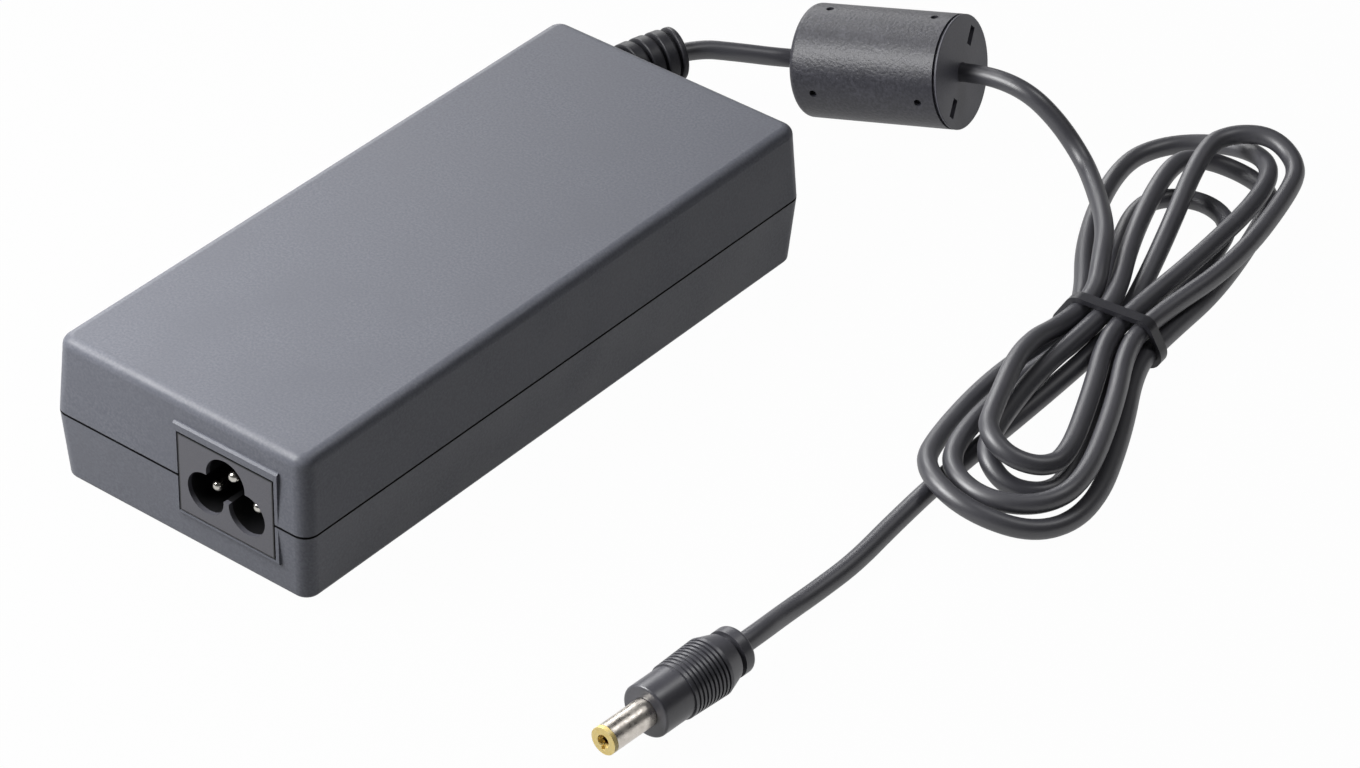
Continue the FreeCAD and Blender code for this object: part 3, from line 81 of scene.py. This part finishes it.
# The hank in millimetres, in its own directions: across it, along it from the tie, and up.
# Each turn names where its two strands lie in the tie, as a place and a layer, then its near and its
# far loop. A loop has its middle across the hank, its reach from the tie, its radius, the heights of
# its points along the bend, and its two legs, each with a place across the hank and a height.
HANK_TURNS = [
    dict(down=(0, 1), up=(2, 1),
         near=(6.4, 43.4, 7.5, (11.0, 11.0, 9.0, 7.2, 6.7), (-7.5, 11.0), (8.2, 7.1)),
         far=(-11.6, 56.4, 14.9, (6.7, 6.6, 3.6, 2.0, 2.0), (4.4, 7.2), (-21.0, 2.1))),
    dict(down=(0, 0), up=(4, 0),
         near=(6.6, 49.8, 15.6, (4.2, 7.2, 6.0, 2.2, 2.0), (-12.6, 2.1), (16.8, 2.1)),
         far=(-5.2, 55.6, 10.2, (2.0, 2.0, 2.0, 4.8, 7.0), (9.6, 2.0), (-10.4, 6.6))),
    dict(down=(1, 1), up=(3, 0),
         near=(7.1, 44.4, 7.6, (6.7, 5.8, 3.0, 2.1, 2.0), (-3.5, 6.6), (8.8, 2.1)),
         far=(-7.4, 43.0, 9.4, (2.0, 2.0, 2.0, 2.0, 2.0), (4.2, 2.1), (-11.4, 2.1))),
    dict(down=(1, 0), up=(3, 1),
         near=(7.5, 48.8, 12.2, (6.4, 6.2, 6.0, 5.8, 6.4), (-7.7, 3.0), (14.3, 6.8)),
         far=(-1.6, 60.7, 9.3, (7.0, 8.0, 10.2, 9.8, 9.6), (11.6, 7.6), (-4.6, 5.6))),
]
LAST_STRAND = (2, 0)
HANK_WAY_IN = [(-15.2, 26.0, 8.6), (-9.8, 14.0, 9.4)]
HANK_WAY_OUT = [(-2.0, -28.0, 2.0), (-4.6, -56.0, 2.0)]

# Where the tie stands on the floor, and which way the hank lies there. The tie holds the strands in
# two layers, a step apart from the first one on, and straight for a way on each side of it.
HANK_MIDDLE = (95.7, 86.1)
HANK_DIRECTION = math.radians(96.0)
STRAND_FIRST = -8.7
STRAND_STEP = 4.45
STRAND_HEIGHTS = (3.2, 7.1)
TIE_HOLD = 6.0

# A loop's bend starts at an angle, in degrees, and turns on by a step from point to point. Its legs
# have their points at a share of its reach.
NEAR_LOOP_START = 175
FAR_LOOP_START = -5
LOOP_STEP = 47.5
LEG_SHARE = 0.5

# How finely the cord is drawn: steps from point to point, and cuts in each half of its round.
CORD_STEPS = 10
CORD_CUTS = 6

# Painted shade in millimetres: an axis, a place on it and a reach, as the moulded finish takes them.
# It is painted near black in the seam's groove, in the socket behind the inlet's face and round the
# rim of that face, beside the gap in the case.
SEAM_PAINTED_SHADE = [("Z", 15.0, 0.26)]
INLET_PAINTED_SHADE = [("Y", -60.0, 11.5), ("X", 11.8, -11.25), ("Z", 15.95, -8.4)]
# The near-black colour of the painted shade.
PAINTED_SHADE_COLOUR = "#0c0c0e"

# A noise texture's values lie mostly between the first two, and flecks grow between the next two.
NOISE_LOW, NOISE_HIGH = 0.3, 0.7
FLECK_LOW, FLECK_HIGH = 0.35, 0.7

# Sockets of a Mix node that is set to colours: its share, its two colours and its result.
SHARE, FIRST, SECOND, MIXED = 0, 6, 7, 2

# Metal, in millimetres: how high its fine lines stand, and how wide a patch of tarnish is.
LINE_HEIGHT = 0.004
TARNISH_WIDTH = 1.2

# The floor's rings, as shares of its radius: how far out they lie and how high.
FLOOR_RINGS = ((0.5, 0.0), (0.8, 0.0), (0.94, 0.02), (1.0, 0.1))
FLOOR_SIDES = 48
# The width in millimetres over which its paint drifts in tone, and how much of it is plain white to
# the camera or through glass, and in a reflection.
FLOOR_DRIFT = 60
WHITE_SEEN = 0.98
WHITE_REFLECTED = 0.75

# Each softbox: where it hangs and the side of its square, in metres.
SOFTBOXES = {
    "key": ((-0.66, 0.25, 0.56), 0.13),
    "front": ((-0.15, -0.19, 0.24), 0.2),
    "back": ((-0.8, 0.62, 0.38), 0.6),
    "top": ((-0.44, 0.0, 0.78), 0.16),
    "rim": ((0.3, 0.36, 0.72), 0.26),
}
LIGHTS_AIM = (0.03, 0.03, 0.0)
SENSOR_WIDTH = 36.0

CORD_TUBES = ("cord_to_choke", "cord_in_choke", "cord_to_hank", "cord_hank", "cord_to_plug")
PLUG_DIRECTION = math.radians(86.8)


def linear(hex_colour):
    """An sRGB hex colour as linear red, green, blue and full alpha."""
    shares = [int(hex_colour[k:k + 2], 16) / 255 for k in (1, 3, 5)]
    return [c / 12.92 if c <= 0.04045 else ((c + 0.055) / 1.055) ** 2.4 for c in shares] + [1.0]


def add(tree, kind, inputs=None, **settings):
    """Adds one node with its settings, and each input set to a value or linked to an output."""
    made = tree.nodes.new(kind)
    for name, value in settings.items():
        setattr(made, name, value)
    for name, value in (inputs or {}).items():
        if isinstance(value, bpy.types.NodeSocket):
            tree.links.new(value, made.inputs[name])
        else:
            made.inputs[name].default_value = value
    return made


def new_material(name):
    """An empty material, its node tree and the object's own coordinates in millimetres."""
    material = bpy.data.materials.new(name)
    material.use_nodes = True
    tree = material.node_tree
    tree.nodes.clear()
    place = add(tree, "ShaderNodeTexCoord")
    millimetres = add(tree, "ShaderNodeVectorMath",
                      {0: place.outputs["Object"], 1: (1 / MM,) * 3}, operation="MULTIPLY")
    return material, tree, millimetres.outputs["Vector"]


def close(tree, shader):
    """Ends a material with its shader."""
    add(tree, "ShaderNodeOutputMaterial", {"Surface": shader.outputs[0]})


def moulded(name, colour, fleck, roughness, grain, depth, ior=1.54, gloss=0.5, cloud=14.0,
            spread=0.06, shades=()):
    """A moulded, coated or sintered surface: a drifting tone, a fine fleck and a grain of pits.

    Grain is the width of one pit, depth how deep it is and cloud how far the tone drifts, all in
    millimetres. Roughness varies by spread either way. A shade is painted shade: an axis, a place on
    it and a reach. The colour is painted near black within that reach, for the shade in a groove or a
    deep hollow, or beyond it where the reach is negative, for the shade in the gap round a rim."""
    material, tree, place = new_material(name)
    drift = add(tree, "ShaderNodeTexNoise", {"Vector": place, "Scale": 1 / cloud, "Detail": 3.0})
    pits = add(tree, "ShaderNodeTexNoise",
               {"Vector": place, "Scale": 1 / grain, "Detail": 2.0, "Roughness": 0.6})
    flecks = add(tree, "ShaderNodeMapRange",
                 {"Value": pits.outputs["Fac"], "From Min": FLECK_LOW, "From Max": FLECK_HIGH})
    share = add(tree, "ShaderNodeMath",
                {0: flecks.outputs["Result"], 1: drift.outputs["Fac"]}, operation="MULTIPLY")
    tone = add(tree, "ShaderNodeMix", {SHARE: share.outputs[0], FIRST: colour, SECOND: fleck},
               data_type="RGBA")
    # Painted shade: each band turns the colour near black, as shade in a groove, a hollow or a gap.
    for axis, spot, reach in shades:
        parts = add(tree, "ShaderNodeSeparateXYZ", {"Vector": place})
        dark = add(tree, "ShaderNodeMath", {0: parts.outputs[axis], 1: spot, 2: abs(reach)},
                   operation="COMPARE")
        if reach < 0:
            dark = add(tree, "ShaderNodeMath", {0: 1.0, 1: dark.outputs[0]}, operation="SUBTRACT")
        tone = add(tree, "ShaderNodeMix", {SHARE: dark.outputs[0], FIRST: tone.outputs[MIXED],
                                           SECOND: linear(PAINTED_SHADE_COLOUR)}, data_type="RGBA")
    shine = add(tree, "ShaderNodeMapRange",
                {"Value": drift.outputs["Fac"], "From Min": NOISE_LOW, "From Max": NOISE_HIGH,
                 "To Min": roughness - spread, "To Max": roughness + spread})
    grainy = add(tree, "ShaderNodeBump",
                 {"Height": pits.outputs["Fac"], "Strength": 1.0, "Distance": depth * MM})
    shader = add(tree, "ShaderNodeBsdfPrincipled",
                 {"Base Color": tone.outputs[MIXED], "Roughness": shine.outputs["Result"],
                  "IOR": ior, "Specular IOR Level": gloss, "Normal": grainy.outputs["Normal"]})
    close(tree, shader)
    return material


def worked_metal(name, colour, tarnish, roughness, line, axis):
    """Plated or bare metal: bright, a little tarnished, with fine lines across its axis.

    Line is the width of one line in millimetres, and axis the way that they follow each other."""
    material, tree, place = new_material(name)
    turned = add(tree, "ShaderNodeMapping", {"Vector": place, "Rotation": (0.0, 0.0, -axis)})
    lines = add(tree, "ShaderNodeTexWave",
                {"Vector": turned.outputs["Vector"], "Scale": 1 / (2 * math.pi * line),
                 "Distortion": 1.5, "Detail": 2.0, "Detail Scale": 2.0},
                wave_type="BANDS", bands_direction="X")
    marks = add(tree, "ShaderNodeTexNoise",
                {"Vector": place, "Scale": 1 / TARNISH_WIDTH, "Detail": 4.0, "Roughness": 0.65})
    tone = add(tree, "ShaderNodeMix",
               {SHARE: marks.outputs["Fac"], FIRST: colour, SECOND: tarnish}, data_type="RGBA")
    shine = add(tree, "ShaderNodeMapRange",
                {"Value": marks.outputs["Fac"], "From Min": NOISE_LOW, "From Max": NOISE_HIGH,
                 "To Min": 0.6 * roughness, "To Max": 1.4 * roughness})
    ridges = add(tree, "ShaderNodeBump",
                 {"Height": lines.outputs["Fac"], "Strength": 0.35, "Distance": LINE_HEIGHT * MM})
    shader = add(tree, "ShaderNodeBsdfPrincipled",
                 {"Base Color": tone.outputs[MIXED], "Metallic": 1.0,
                  "Roughness": shine.outputs["Result"], "Normal": ridges.outputs["Normal"]})
    close(tree, shader)
    return material


def paint(node_name, material):
    """Gives a CAD node its finish."""
    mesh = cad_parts[node_name].data
    mesh.materials.clear()
    mesh.materials.append(material)


# The cord.


def in_hank(across, reach, height):
    """A point of the hank, in metres."""
    x = HANK_MIDDLE[0] + across * math.sin(HANK_DIRECTION) + reach * math.cos(HANK_DIRECTION)
    y = HANK_MIDDLE[1] - across * math.cos(HANK_DIRECTION) + reach * math.sin(HANK_DIRECTION)
    return (x * MM, y * MM, height * MM)


def strand(spot):
    """Where a strand lies in the tie, across it and up, from its place in a layer and its layer.

    The upper layer lies over the gaps of the lower one."""
    place, layer = spot
    return STRAND_FIRST + STRAND_STEP * (place + 0.5 * layer), STRAND_HEIGHTS[layer]


def hank_loop(side, first_angle, form):
    """One loop on the near side (-1) or the far side (1): the leg out, the bend and the leg back."""
    middle, reach, radius, heights, leg_out, leg_back = form
    leg_reach = side * LEG_SHARE * reach
    points = [in_hank(leg_out[0], leg_reach, leg_out[1])]
    spread = radius / math.cos(math.radians(LOOP_STEP / 2))
    for step, height in enumerate(heights):
        angle = math.radians(first_angle + LOOP_STEP * step)
        points.append(in_hank(middle + spread * math.cos(angle),
                              side * reach + spread * math.sin(angle), height))
    points.append(in_hank(leg_back[0], leg_reach, leg_back[1]))
    return points


def hank_points():
    """The hank's control points, turn by turn."""
    points = [in_hank(*spot) for spot in HANK_WAY_IN]
    for turn in HANK_TURNS:
        across, height = strand(turn["down"])
        points += [in_hank(across, TIE_HOLD, height), in_hank(across, -TIE_HOLD, height)]
        points += hank_loop(-1, NEAR_LOOP_START, turn["near"])
        across, height = strand(turn["up"])
        points += [in_hank(across, -TIE_HOLD, height), in_hank(across, TIE_HOLD, height)]
        points += hank_loop(1, FAR_LOOP_START, turn["far"])
    across, height = strand(LAST_STRAND)
    points += [in_hank(across, TIE_HOLD, height), in_hank(across, -TIE_HOLD, height)]
    points += [in_hank(*spot) for spot in HANK_WAY_OUT]
    return points


def cord_curve(radius):
    """The whole cord as one smooth curve from the case to the plug."""
    points = CORD_POINTS_TO_HANK + hank_points() + CORD_POINTS_TO_PLUG
    data = bpy.data.curves.new("output_cord", "CURVE")
    data.dimensions = "3D"
    spline = data.splines.new("NURBS")
    spline.points.add(len(points) - 1)
    for spot, point in zip(spline.points, points):
        spot.co = (*point, 1.0)
    spline.order_u = 3
    spline.use_endpoint_u = True
    spline.resolution_u = CORD_STEPS
    data.bevel_depth = radius
    data.bevel_resolution = CORD_CUTS
    data.use_fill_caps = True
    cord = bpy.data.objects.new("output_cord", data)
    bpy.context.scene.collection.objects.link(cord)
    return cord


class CameraSizes(bpy.types.PropertyGroup):
    lens: FloatProperty(name="Lens", description="Focal length on a 36 mm wide sensor",
                        default=135.266, unit="CAMERA")
    turn: FloatProperty(name="Turn", description="Camera's place round the object, from its front",
                        default=math.radians(37.78), subtype="ANGLE")
    rise: FloatProperty(name="Rise", description="Camera's height above the horizon",
                        default=math.radians(36.12), subtype="ANGLE")
    roll: FloatProperty(name="Roll", description="Turn of the picture about the line of sight",
                        default=math.radians(1.37), subtype="ANGLE")
    distance: FloatProperty(name="Distance", description="Camera to the point it looks at",
                            default=0.9752, unit="LENGTH")
    target: FloatVectorProperty(name="Target", description="Point on the floor that it looks at",
                                default=(0.0396, 0.0240, 0.0), subtype="XYZ", unit="LENGTH")


class CordSizes(bpy.types.PropertyGroup):
    diameter: FloatProperty(name="Diameter", description="Output cord, outside",
                            default=0.0039, unit="LENGTH")
    length: FloatProperty(name="Length", description="Output cord from the case to its plug",
                          default=1.398, unit="LENGTH")
    colour: FloatVectorProperty(name="Colour", description="Jacket of the cord",
                                default=linear("#3e3e44"), size=4, subtype="COLOR")


class CaseSizes(bpy.types.PropertyGroup):
    colour: FloatVectorProperty(name="Colour", description="Moulded plastic of the case",
                                default=linear("#5a5c64"), size=4, subtype="COLOR")
    fleck: FloatVectorProperty(name="Fleck", description="Lighter flecks in the case's grain",
                               default=linear("#70727a"), size=4, subtype="COLOR")
    roughness: FloatProperty(name="Roughness", description="Roughness of the case's surface",
                             default=0.42, subtype="FACTOR", min=0.0, max=1.0)
    grain: FloatProperty(name="Grain", description="Width of one pit in the case's grain",
                         default=0.0005, unit="LENGTH")


class StageSizes(bpy.types.PropertyGroup):
    floor: FloatProperty(name="Floor", description="Radius of the round floor",
                         default=12.0, unit="LENGTH")
    key: FloatProperty(name="Key light", description="Softbox at the left, high above the case",
                       default=1.4, unit="POWER")
    front: FloatProperty(name="Front light", description="Softbox close by at the front left",
                         default=1.9, unit="POWER")
    back: FloatProperty(name="Back light", description="Low wide softbox at the back left",
                        default=3.6, unit="POWER")
    top: FloatProperty(name="Top light", description="Softbox that draws the case's front edge",
                       default=1.0, unit="POWER")
    rim: FloatProperty(name="Rim light", description="Softbox at the back right, for the cord",
                       default=0.9, unit="POWER")
    sky: FloatProperty(name="Sky", description="Even light from all round",
                       default=0.08, min=0.0)


class ADAPTER_OT_camera(bpy.types.Operator):
    """Stands the camera at the photograph's viewing angle"""
    bl_idname = "adapter.camera"
    bl_label = "Camera"

    def execute(self, context):
        sizes = context.scene.adapter_camera
        data = bpy.data.cameras.new("camera")
        data.sensor_width = SENSOR_WIDTH
        data.lens = sizes.lens
        data.clip_start = 0.01
        data.clip_end = 50.0
        camera = bpy.data.objects.new("camera", data)
        context.scene.collection.objects.link(camera)
        turned = (Matrix.Rotation(sizes.turn, 4, "Z")
                  @ Matrix.Rotation(math.pi / 2 - sizes.rise, 4, "X")
                  @ Matrix.Rotation(sizes.roll, 4, "Z"))
        back = turned.to_3x3() @ Vector((0.0, 0.0, 1.0))
        place = Vector(sizes.target) + back * sizes.distance
        camera.matrix_world = Matrix.Translation(place) @ turned
        context.scene.camera = camera
        return {"FINISHED"}


class ADAPTER_OT_cord(bpy.types.Operator):
    """Lays the output cord from the case through the choke and the hank to the plug"""
    bl_idname = "adapter.cord"
    bl_label = "Output cord"

    def execute(self, context):
        sizes = context.scene.adapter_cord
        cord = cord_curve(sizes.diameter / 2)
        # Extruded soft PVC, satin: its skin is smoother than a moulding's, with long bright lines.
        cord.data.materials.append(moulded(
            "extruded_pvc_satin", sizes.colour, linear("#44444a"), 0.44, 0.5, 0.0006, gloss=1.0))
        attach(cord, BODY)
        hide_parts(*CORD_TUBES)
        return {"FINISHED"}


class ADAPTER_OT_case(bpy.types.Operator):
    """Finishes the two halves of the case"""
    bl_idname = "adapter.case"
    bl_label = "Case"

    def execute(self, context):
        look = context.scene.adapter_case
        # Moulded polycarbonate and ABS, spark-eroded: a fine even grain that spreads each light. The
        # real pits are about 0.1 mm wide, and are drawn wider so that they show.
        # Painted shade: a near-black band along the seam's groove between the two halves.
        plastic = moulded("moulded_pc_abs_fine_grain", look.colour, look.fleck, look.roughness,
                          look.grain / MM, 0.016, ior=1.56, gloss=0.24, shades=SEAM_PAINTED_SHADE)
        for name in ("upper_shell", "lower_shell"):
            paint(name, plastic)
        return {"FINISHED"}


class ADAPTER_OT_inlet(bpy.types.Operator):
    """Finishes the mains inlet and its three pins"""
    bl_idname = "adapter.inlet"
    bl_label = "Mains inlet"

    def execute(self, context):
        # Moulded polyester, satin, smoother than the case: its face is a little glossier and darker.
        # Painted shade: near black in the socket behind the face and round the face's rim beside the
        # gap.
        paint("inlet_body", moulded("moulded_pbt_satin", linear("#4c4c52"), linear("#58585f"),
                                    0.4, 0.35, 0.005, shades=INLET_PAINTED_SHADE))
        # Nickel on turned brass pins: bright, with a small glint at each rounded end.
        pins = worked_metal("nickel_plated_brass_pins", linear("#d9d7d2"), linear("#b5b1a8"),
                            0.2, 0.12, math.pi / 2)
        for name in ("inlet_earth_pin", "inlet_live_pin", "inlet_neutral_pin"):
            paint(name, pins)
        return {"FINISHED"}


class ADAPTER_OT_cord_pieces(bpy.types.Operator):
    """Finishes the boot, the choke and the tie"""
    bl_idname = "adapter.cord_pieces"
    bl_label = "Boot, choke and tie"

    def execute(self, context):
        # Moulded soft PVC with a light texture: duller and darker than the cord.
        paint("output_strain_relief", moulded("moulded_pvc_boot", linear("#28282c"),
                                              linear("#38383d"), 0.42, 0.4, 0.01, gloss=0.3))
        # Moulded ABS with a coarse grain: it breaks the edge of a light up into flecks.
        choke = moulded("moulded_abs_coarse_grain", linear("#2a2a31"), linear("#505058"),
                        0.44, 0.7, 0.1, gloss=0.5, cloud=5.0, spread=0.01)
        paint("choke_cover", choke)
        # The cap is a tone lighter than the cover: painted light, for the light that falls on its end
        # face.
        paint("choke_end_cap", moulded("moulded_abs_cap", linear("#56565e"), linear("#66666e"),
                                       0.5, 0.5, 0.01))
        # Sintered ferrite: dull, dark and finely pitted.
        paint("choke_ferrite_core", moulded("sintered_ferrite", linear("#2e2d2c"),
                                            linear("#3a3938"), 0.7, 0.3, 0.02))
        # Moulded nylon strap, satin, with the sheen of polished tooling.
        paint("cable_tie", moulded("moulded_nylon_strap", linear("#2c2c31"), linear("#36363b"),
                                   0.36, 0.6, 0.004, ior=1.53))
        return {"FINISHED"}


class ADAPTER_OT_plug(bpy.types.Operator):
    """Finishes the plug's moulding, barrel, insulator and contact"""
    bl_idname = "adapter.plug"
    bl_label = "Barrel plug"

    def execute(self, context):
        # Moulded soft PVC: satin, a tone lighter than the cord.
        paint("plug_overmould", moulded("moulded_pvc_plug", linear("#48484e"), linear("#55555b"),
                                        0.36, 0.4, 0.0015, gloss=0.7))
        # Nickel on a turned brass barrel: bright and warm, with rings so fine that they blur it.
        paint("plug_barrel", worked_metal("nickel_plated_brass_barrel", linear("#e6e0d8"),
                                          linear("#d6cfc6"), 0.36, 0.14, PLUG_DIRECTION))
        # Moulded acetal: an ivory plastic with a waxy sheen.
        paint("plug_tip_insulator", moulded("moulded_acetal_ivory", linear("#f4d884"),
                                            linear("#f6e8b4"), 0.3, 0.8, 0.004, ior=1.48))
        # Plated phosphor bronze: a dull golden spring deep in the bore.
        paint("plug_centre_contact", worked_metal("plated_spring_contact", linear("#b98d4e"),
                                                  linear("#8a6234"), 0.3, 0.1, PLUG_DIRECTION))
        return {"FINISHED"}


class ADAPTER_OT_inside(bpy.types.Operator):
    """Finishes the board and the parts inside the case"""
    bl_idname = "adapter.inside"
    bl_label = "Inside the case"

    def execute(self, context):
        # Each finish with its pieces, colour, fleck, roughness and grain. Lacquer, tape and dipped
        # coats look glossy, mouldings satin, and sintered cores dull.
        plain = {
            "laminate_green_lacquer": (("circuit_board",), "#2c5a34", "#356a3d", 0.3, 0.8),
            "polyester_sheet_black": (("insulation_sheet",), "#232327", "#2c2c30", 0.35, 0.6),
            "moulded_epoxy_black": (("bridge_rectifier", "switching_transistor", "output_rectifier",
                                     "optocoupler", "line_filter_base"),
                                    "#1f1f22", "#2b2b2f", 0.5, 0.4),
            "shrunk_pvc_sleeve_navy": (("bulk_capacitor", "output_capacitor_front",
                                        "output_capacitor_back"), "#1f2b49", "#293758", 0.28, 1.0),
            "sintered_core_ferrite": (("transformer_core", "line_filter_core",
                                       "output_inductor"), "#34332f", "#42403c", 0.65, 0.3),
            "polyester_tape_amber": (("transformer_winding",), "#b98a24", "#cfa03c", 0.3, 1.2),
            "moulded_film_case_yellow": (("interference_capacitor",),
                                         "#d0a52c", "#d9b244", 0.4, 0.5),
            "dipped_epoxy_blue": (("disc_capacitor_front", "disc_capacitor_back"),
                                  "#2f5f98", "#3b70ac", 0.3, 0.9),
            "dipped_epoxy_green": (("thermistor",), "#2f5a3a", "#3b6b47", 0.35, 0.9),
            "shrunk_sleeve_black": (("fuse",), "#1c1c1e", "#29292c", 0.4, 0.7),
            "extruded_pvc_red": (("output_lead_positive",), "#8c1d1a", "#a02a26", 0.4, 0.5),
            "extruded_pvc_black": (("output_lead_negative",), "#1d1d1f", "#28282b", 0.4, 0.5),
        }
        for name, (nodes, colour, fleck, roughness, grain) in plain.items():
            material = moulded(name, linear(colour), linear(fleck), roughness, grain, 0.01)
            for node_name in nodes:
                paint(node_name, material)
        # Rolled aluminium sheet: pale and satin, with the mill's fine lines.
        metal = worked_metal("rolled_aluminium_sheet", linear("#c9cacc"), linear("#b2b4b7"),
                             0.35, 0.15, math.pi / 2)
        for node_name in ("upper_shield", "primary_heat_sink", "secondary_heat_sink"):
            paint(node_name, metal)
        return {"FINISHED"}


class ADAPTER_OT_stage(bpy.types.Operator):
    """Sets the floor, the sky and the soft studio lights"""
    bl_idname = "adapter.stage"
    bl_label = "Stage"

    def execute(self, context):
        sizes = context.scene.adapter_stage
        self.lay_floor(context, sizes)
        self.make_sky(context, sizes)
        for name, (place, side) in SOFTBOXES.items():
            self.hang_light(context, name + "_softbox", place, side, getattr(sizes, name))
        context.scene.view_settings.view_transform = "Standard"
        return {"FINISHED"}

    def lay_floor(self, context, sizes):
        """A round floor whose rim turns up far away, so that a low view still has it behind."""
        mesh = bpy.data.meshes.new("floor")
        form = bmesh.new()
        rings = []
        corners = [2 * math.pi * k / FLOOR_SIDES for k in range(FLOOR_SIDES)]
        for reach, height in FLOOR_RINGS:
            rings.append([form.verts.new((sizes.floor * reach * math.cos(angle),
                                          sizes.floor * reach * math.sin(angle),
                                          sizes.floor * height)) for angle in corners])
        form.faces.new(rings[0])
        for inner, outer in zip(rings, rings[1:]):
            for k in range(FLOOR_SIDES):
                after = (k + 1) % FLOOR_SIDES
                form.faces.new((inner[k], outer[k], outer[after], inner[after]))
        form.to_mesh(mesh)
        form.free()
        floor = bpy.data.objects.new("floor", mesh)
        context.scene.collection.objects.link(floor)
        # White painted board, matt: the eye sees it as the white ground, with a trace of shadow.
        material, tree, place = new_material("painted_board_white")
        wear = add(tree, "ShaderNodeTexNoise",
                   {"Vector": place, "Scale": 1 / FLOOR_DRIFT, "Detail": 3.0})
        tone = add(tree, "ShaderNodeMix", {SHARE: wear.outputs["Fac"], FIRST: linear("#8c8c8c"),
                                           SECOND: linear("#929292")}, data_type="RGBA")
        matt = add(tree, "ShaderNodeBsdfDiffuse", {"Color": tone.outputs[MIXED]})
        lit = add(tree, "ShaderNodeEmission", {"Color": (1.0, 1.0, 1.0, 1.0), "Strength": 1.0})
        # The camera, a reflection or glass sees mostly plain white. All other light sees the board.
        path = add(tree, "ShaderNodeLightPath")
        direct = add(tree, "ShaderNodeMath",
                     {0: path.outputs["Is Camera Ray"], 1: path.outputs["Is Transmission Ray"]},
                     operation="MAXIMUM")
        seen = add(tree, "ShaderNodeMath", {0: direct.outputs[0], 1: WHITE_SEEN},
                   operation="MULTIPLY")
        reflected = add(tree, "ShaderNodeMath",
                        {0: path.outputs["Is Glossy Ray"], 1: WHITE_REFLECTED},
                        operation="MULTIPLY")
        white = add(tree, "ShaderNodeMath", {0: seen.outputs[0], 1: reflected.outputs[0]},
                    operation="MAXIMUM")
        close(tree, add(tree, "ShaderNodeMixShader",
                        {0: white.outputs[0], 1: matt.outputs[0], 2: lit.outputs[0]}))
        mesh.materials.append(material)

    def make_sky(self, context, sizes):
        """An even white sky, which fills the shadows a little."""
        world = bpy.data.worlds.new("studio")
        world.use_nodes = True
        even = world.node_tree.nodes["Background"]
        even.inputs["Color"].default_value = (1.0, 1.0, 1.0, 1.0)
        even.inputs["Strength"].default_value = sizes.sky
        context.scene.world = world

    def hang_light(self, context, name, place, side, power):
        """One square softbox, turned to the object."""
        data = bpy.data.lights.new(name, "AREA")
        data.shape = "SQUARE"
        data.size = side
        data.energy = power
        light = bpy.data.objects.new(name, data)
        light.location = place
        aim = Vector(LIGHTS_AIM) - Vector(place)
        light.rotation_mode = "QUATERNION"
        light.rotation_quaternion = aim.to_track_quat("-Z", "Y")
        context.scene.collection.objects.link(light)


OPERATORS = (ADAPTER_OT_camera, ADAPTER_OT_cord, ADAPTER_OT_case, ADAPTER_OT_inlet,
             ADAPTER_OT_cord_pieces, ADAPTER_OT_plug, ADAPTER_OT_inside, ADAPTER_OT_stage)


class ADAPTER_PT_panel(bpy.types.Panel):
    """Lists the adapter's sizes, colours and steps"""
    bl_idname = "ADAPTER_PT_panel"
    bl_label = "Power adapter"
    bl_space_type = "VIEW_3D"
    bl_region_type = "UI"
    bl_category = "Power adapter"

    def draw(self, context):
        for group in (context.scene.adapter_camera, context.scene.adapter_cord,
                      context.scene.adapter_case, context.scene.adapter_stage):
            box = self.layout.box()
            for name in group.bl_rna.properties.keys():
                if name not in ("rna_type", "name"):
                    box.prop(group, name)
        for operator in OPERATORS:
            self.layout.operator(operator.bl_idname)


GROUPS = {"adapter_camera": CameraSizes, "adapter_cord": CordSizes,
          "adapter_case": CaseSizes, "adapter_stage": StageSizes}


def register():
    for cls in (*GROUPS.values(), *OPERATORS, ADAPTER_PT_panel):
        bpy.utils.register_class(cls)
    for name, group in GROUPS.items():
        setattr(bpy.types.Scene, name, PointerProperty(type=group))


def unregister():
    for name in GROUPS:
        delattr(bpy.types.Scene, name)
    for cls in (ADAPTER_PT_panel, *reversed(OPERATORS), *reversed(GROUPS.values())):
        bpy.utils.unregister_class(cls)


def main():
    """Makes every piece and the stage."""
    register()
    for step in (bpy.ops.adapter.camera, bpy.ops.adapter.cord, bpy.ops.adapter.case,
                 bpy.ops.adapter.inlet, bpy.ops.adapter.cord_pieces, bpy.ops.adapter.plug,
                 bpy.ops.adapter.inside, bpy.ops.adapter.stage):
        step()


if __name__ == "__main__":
    main()
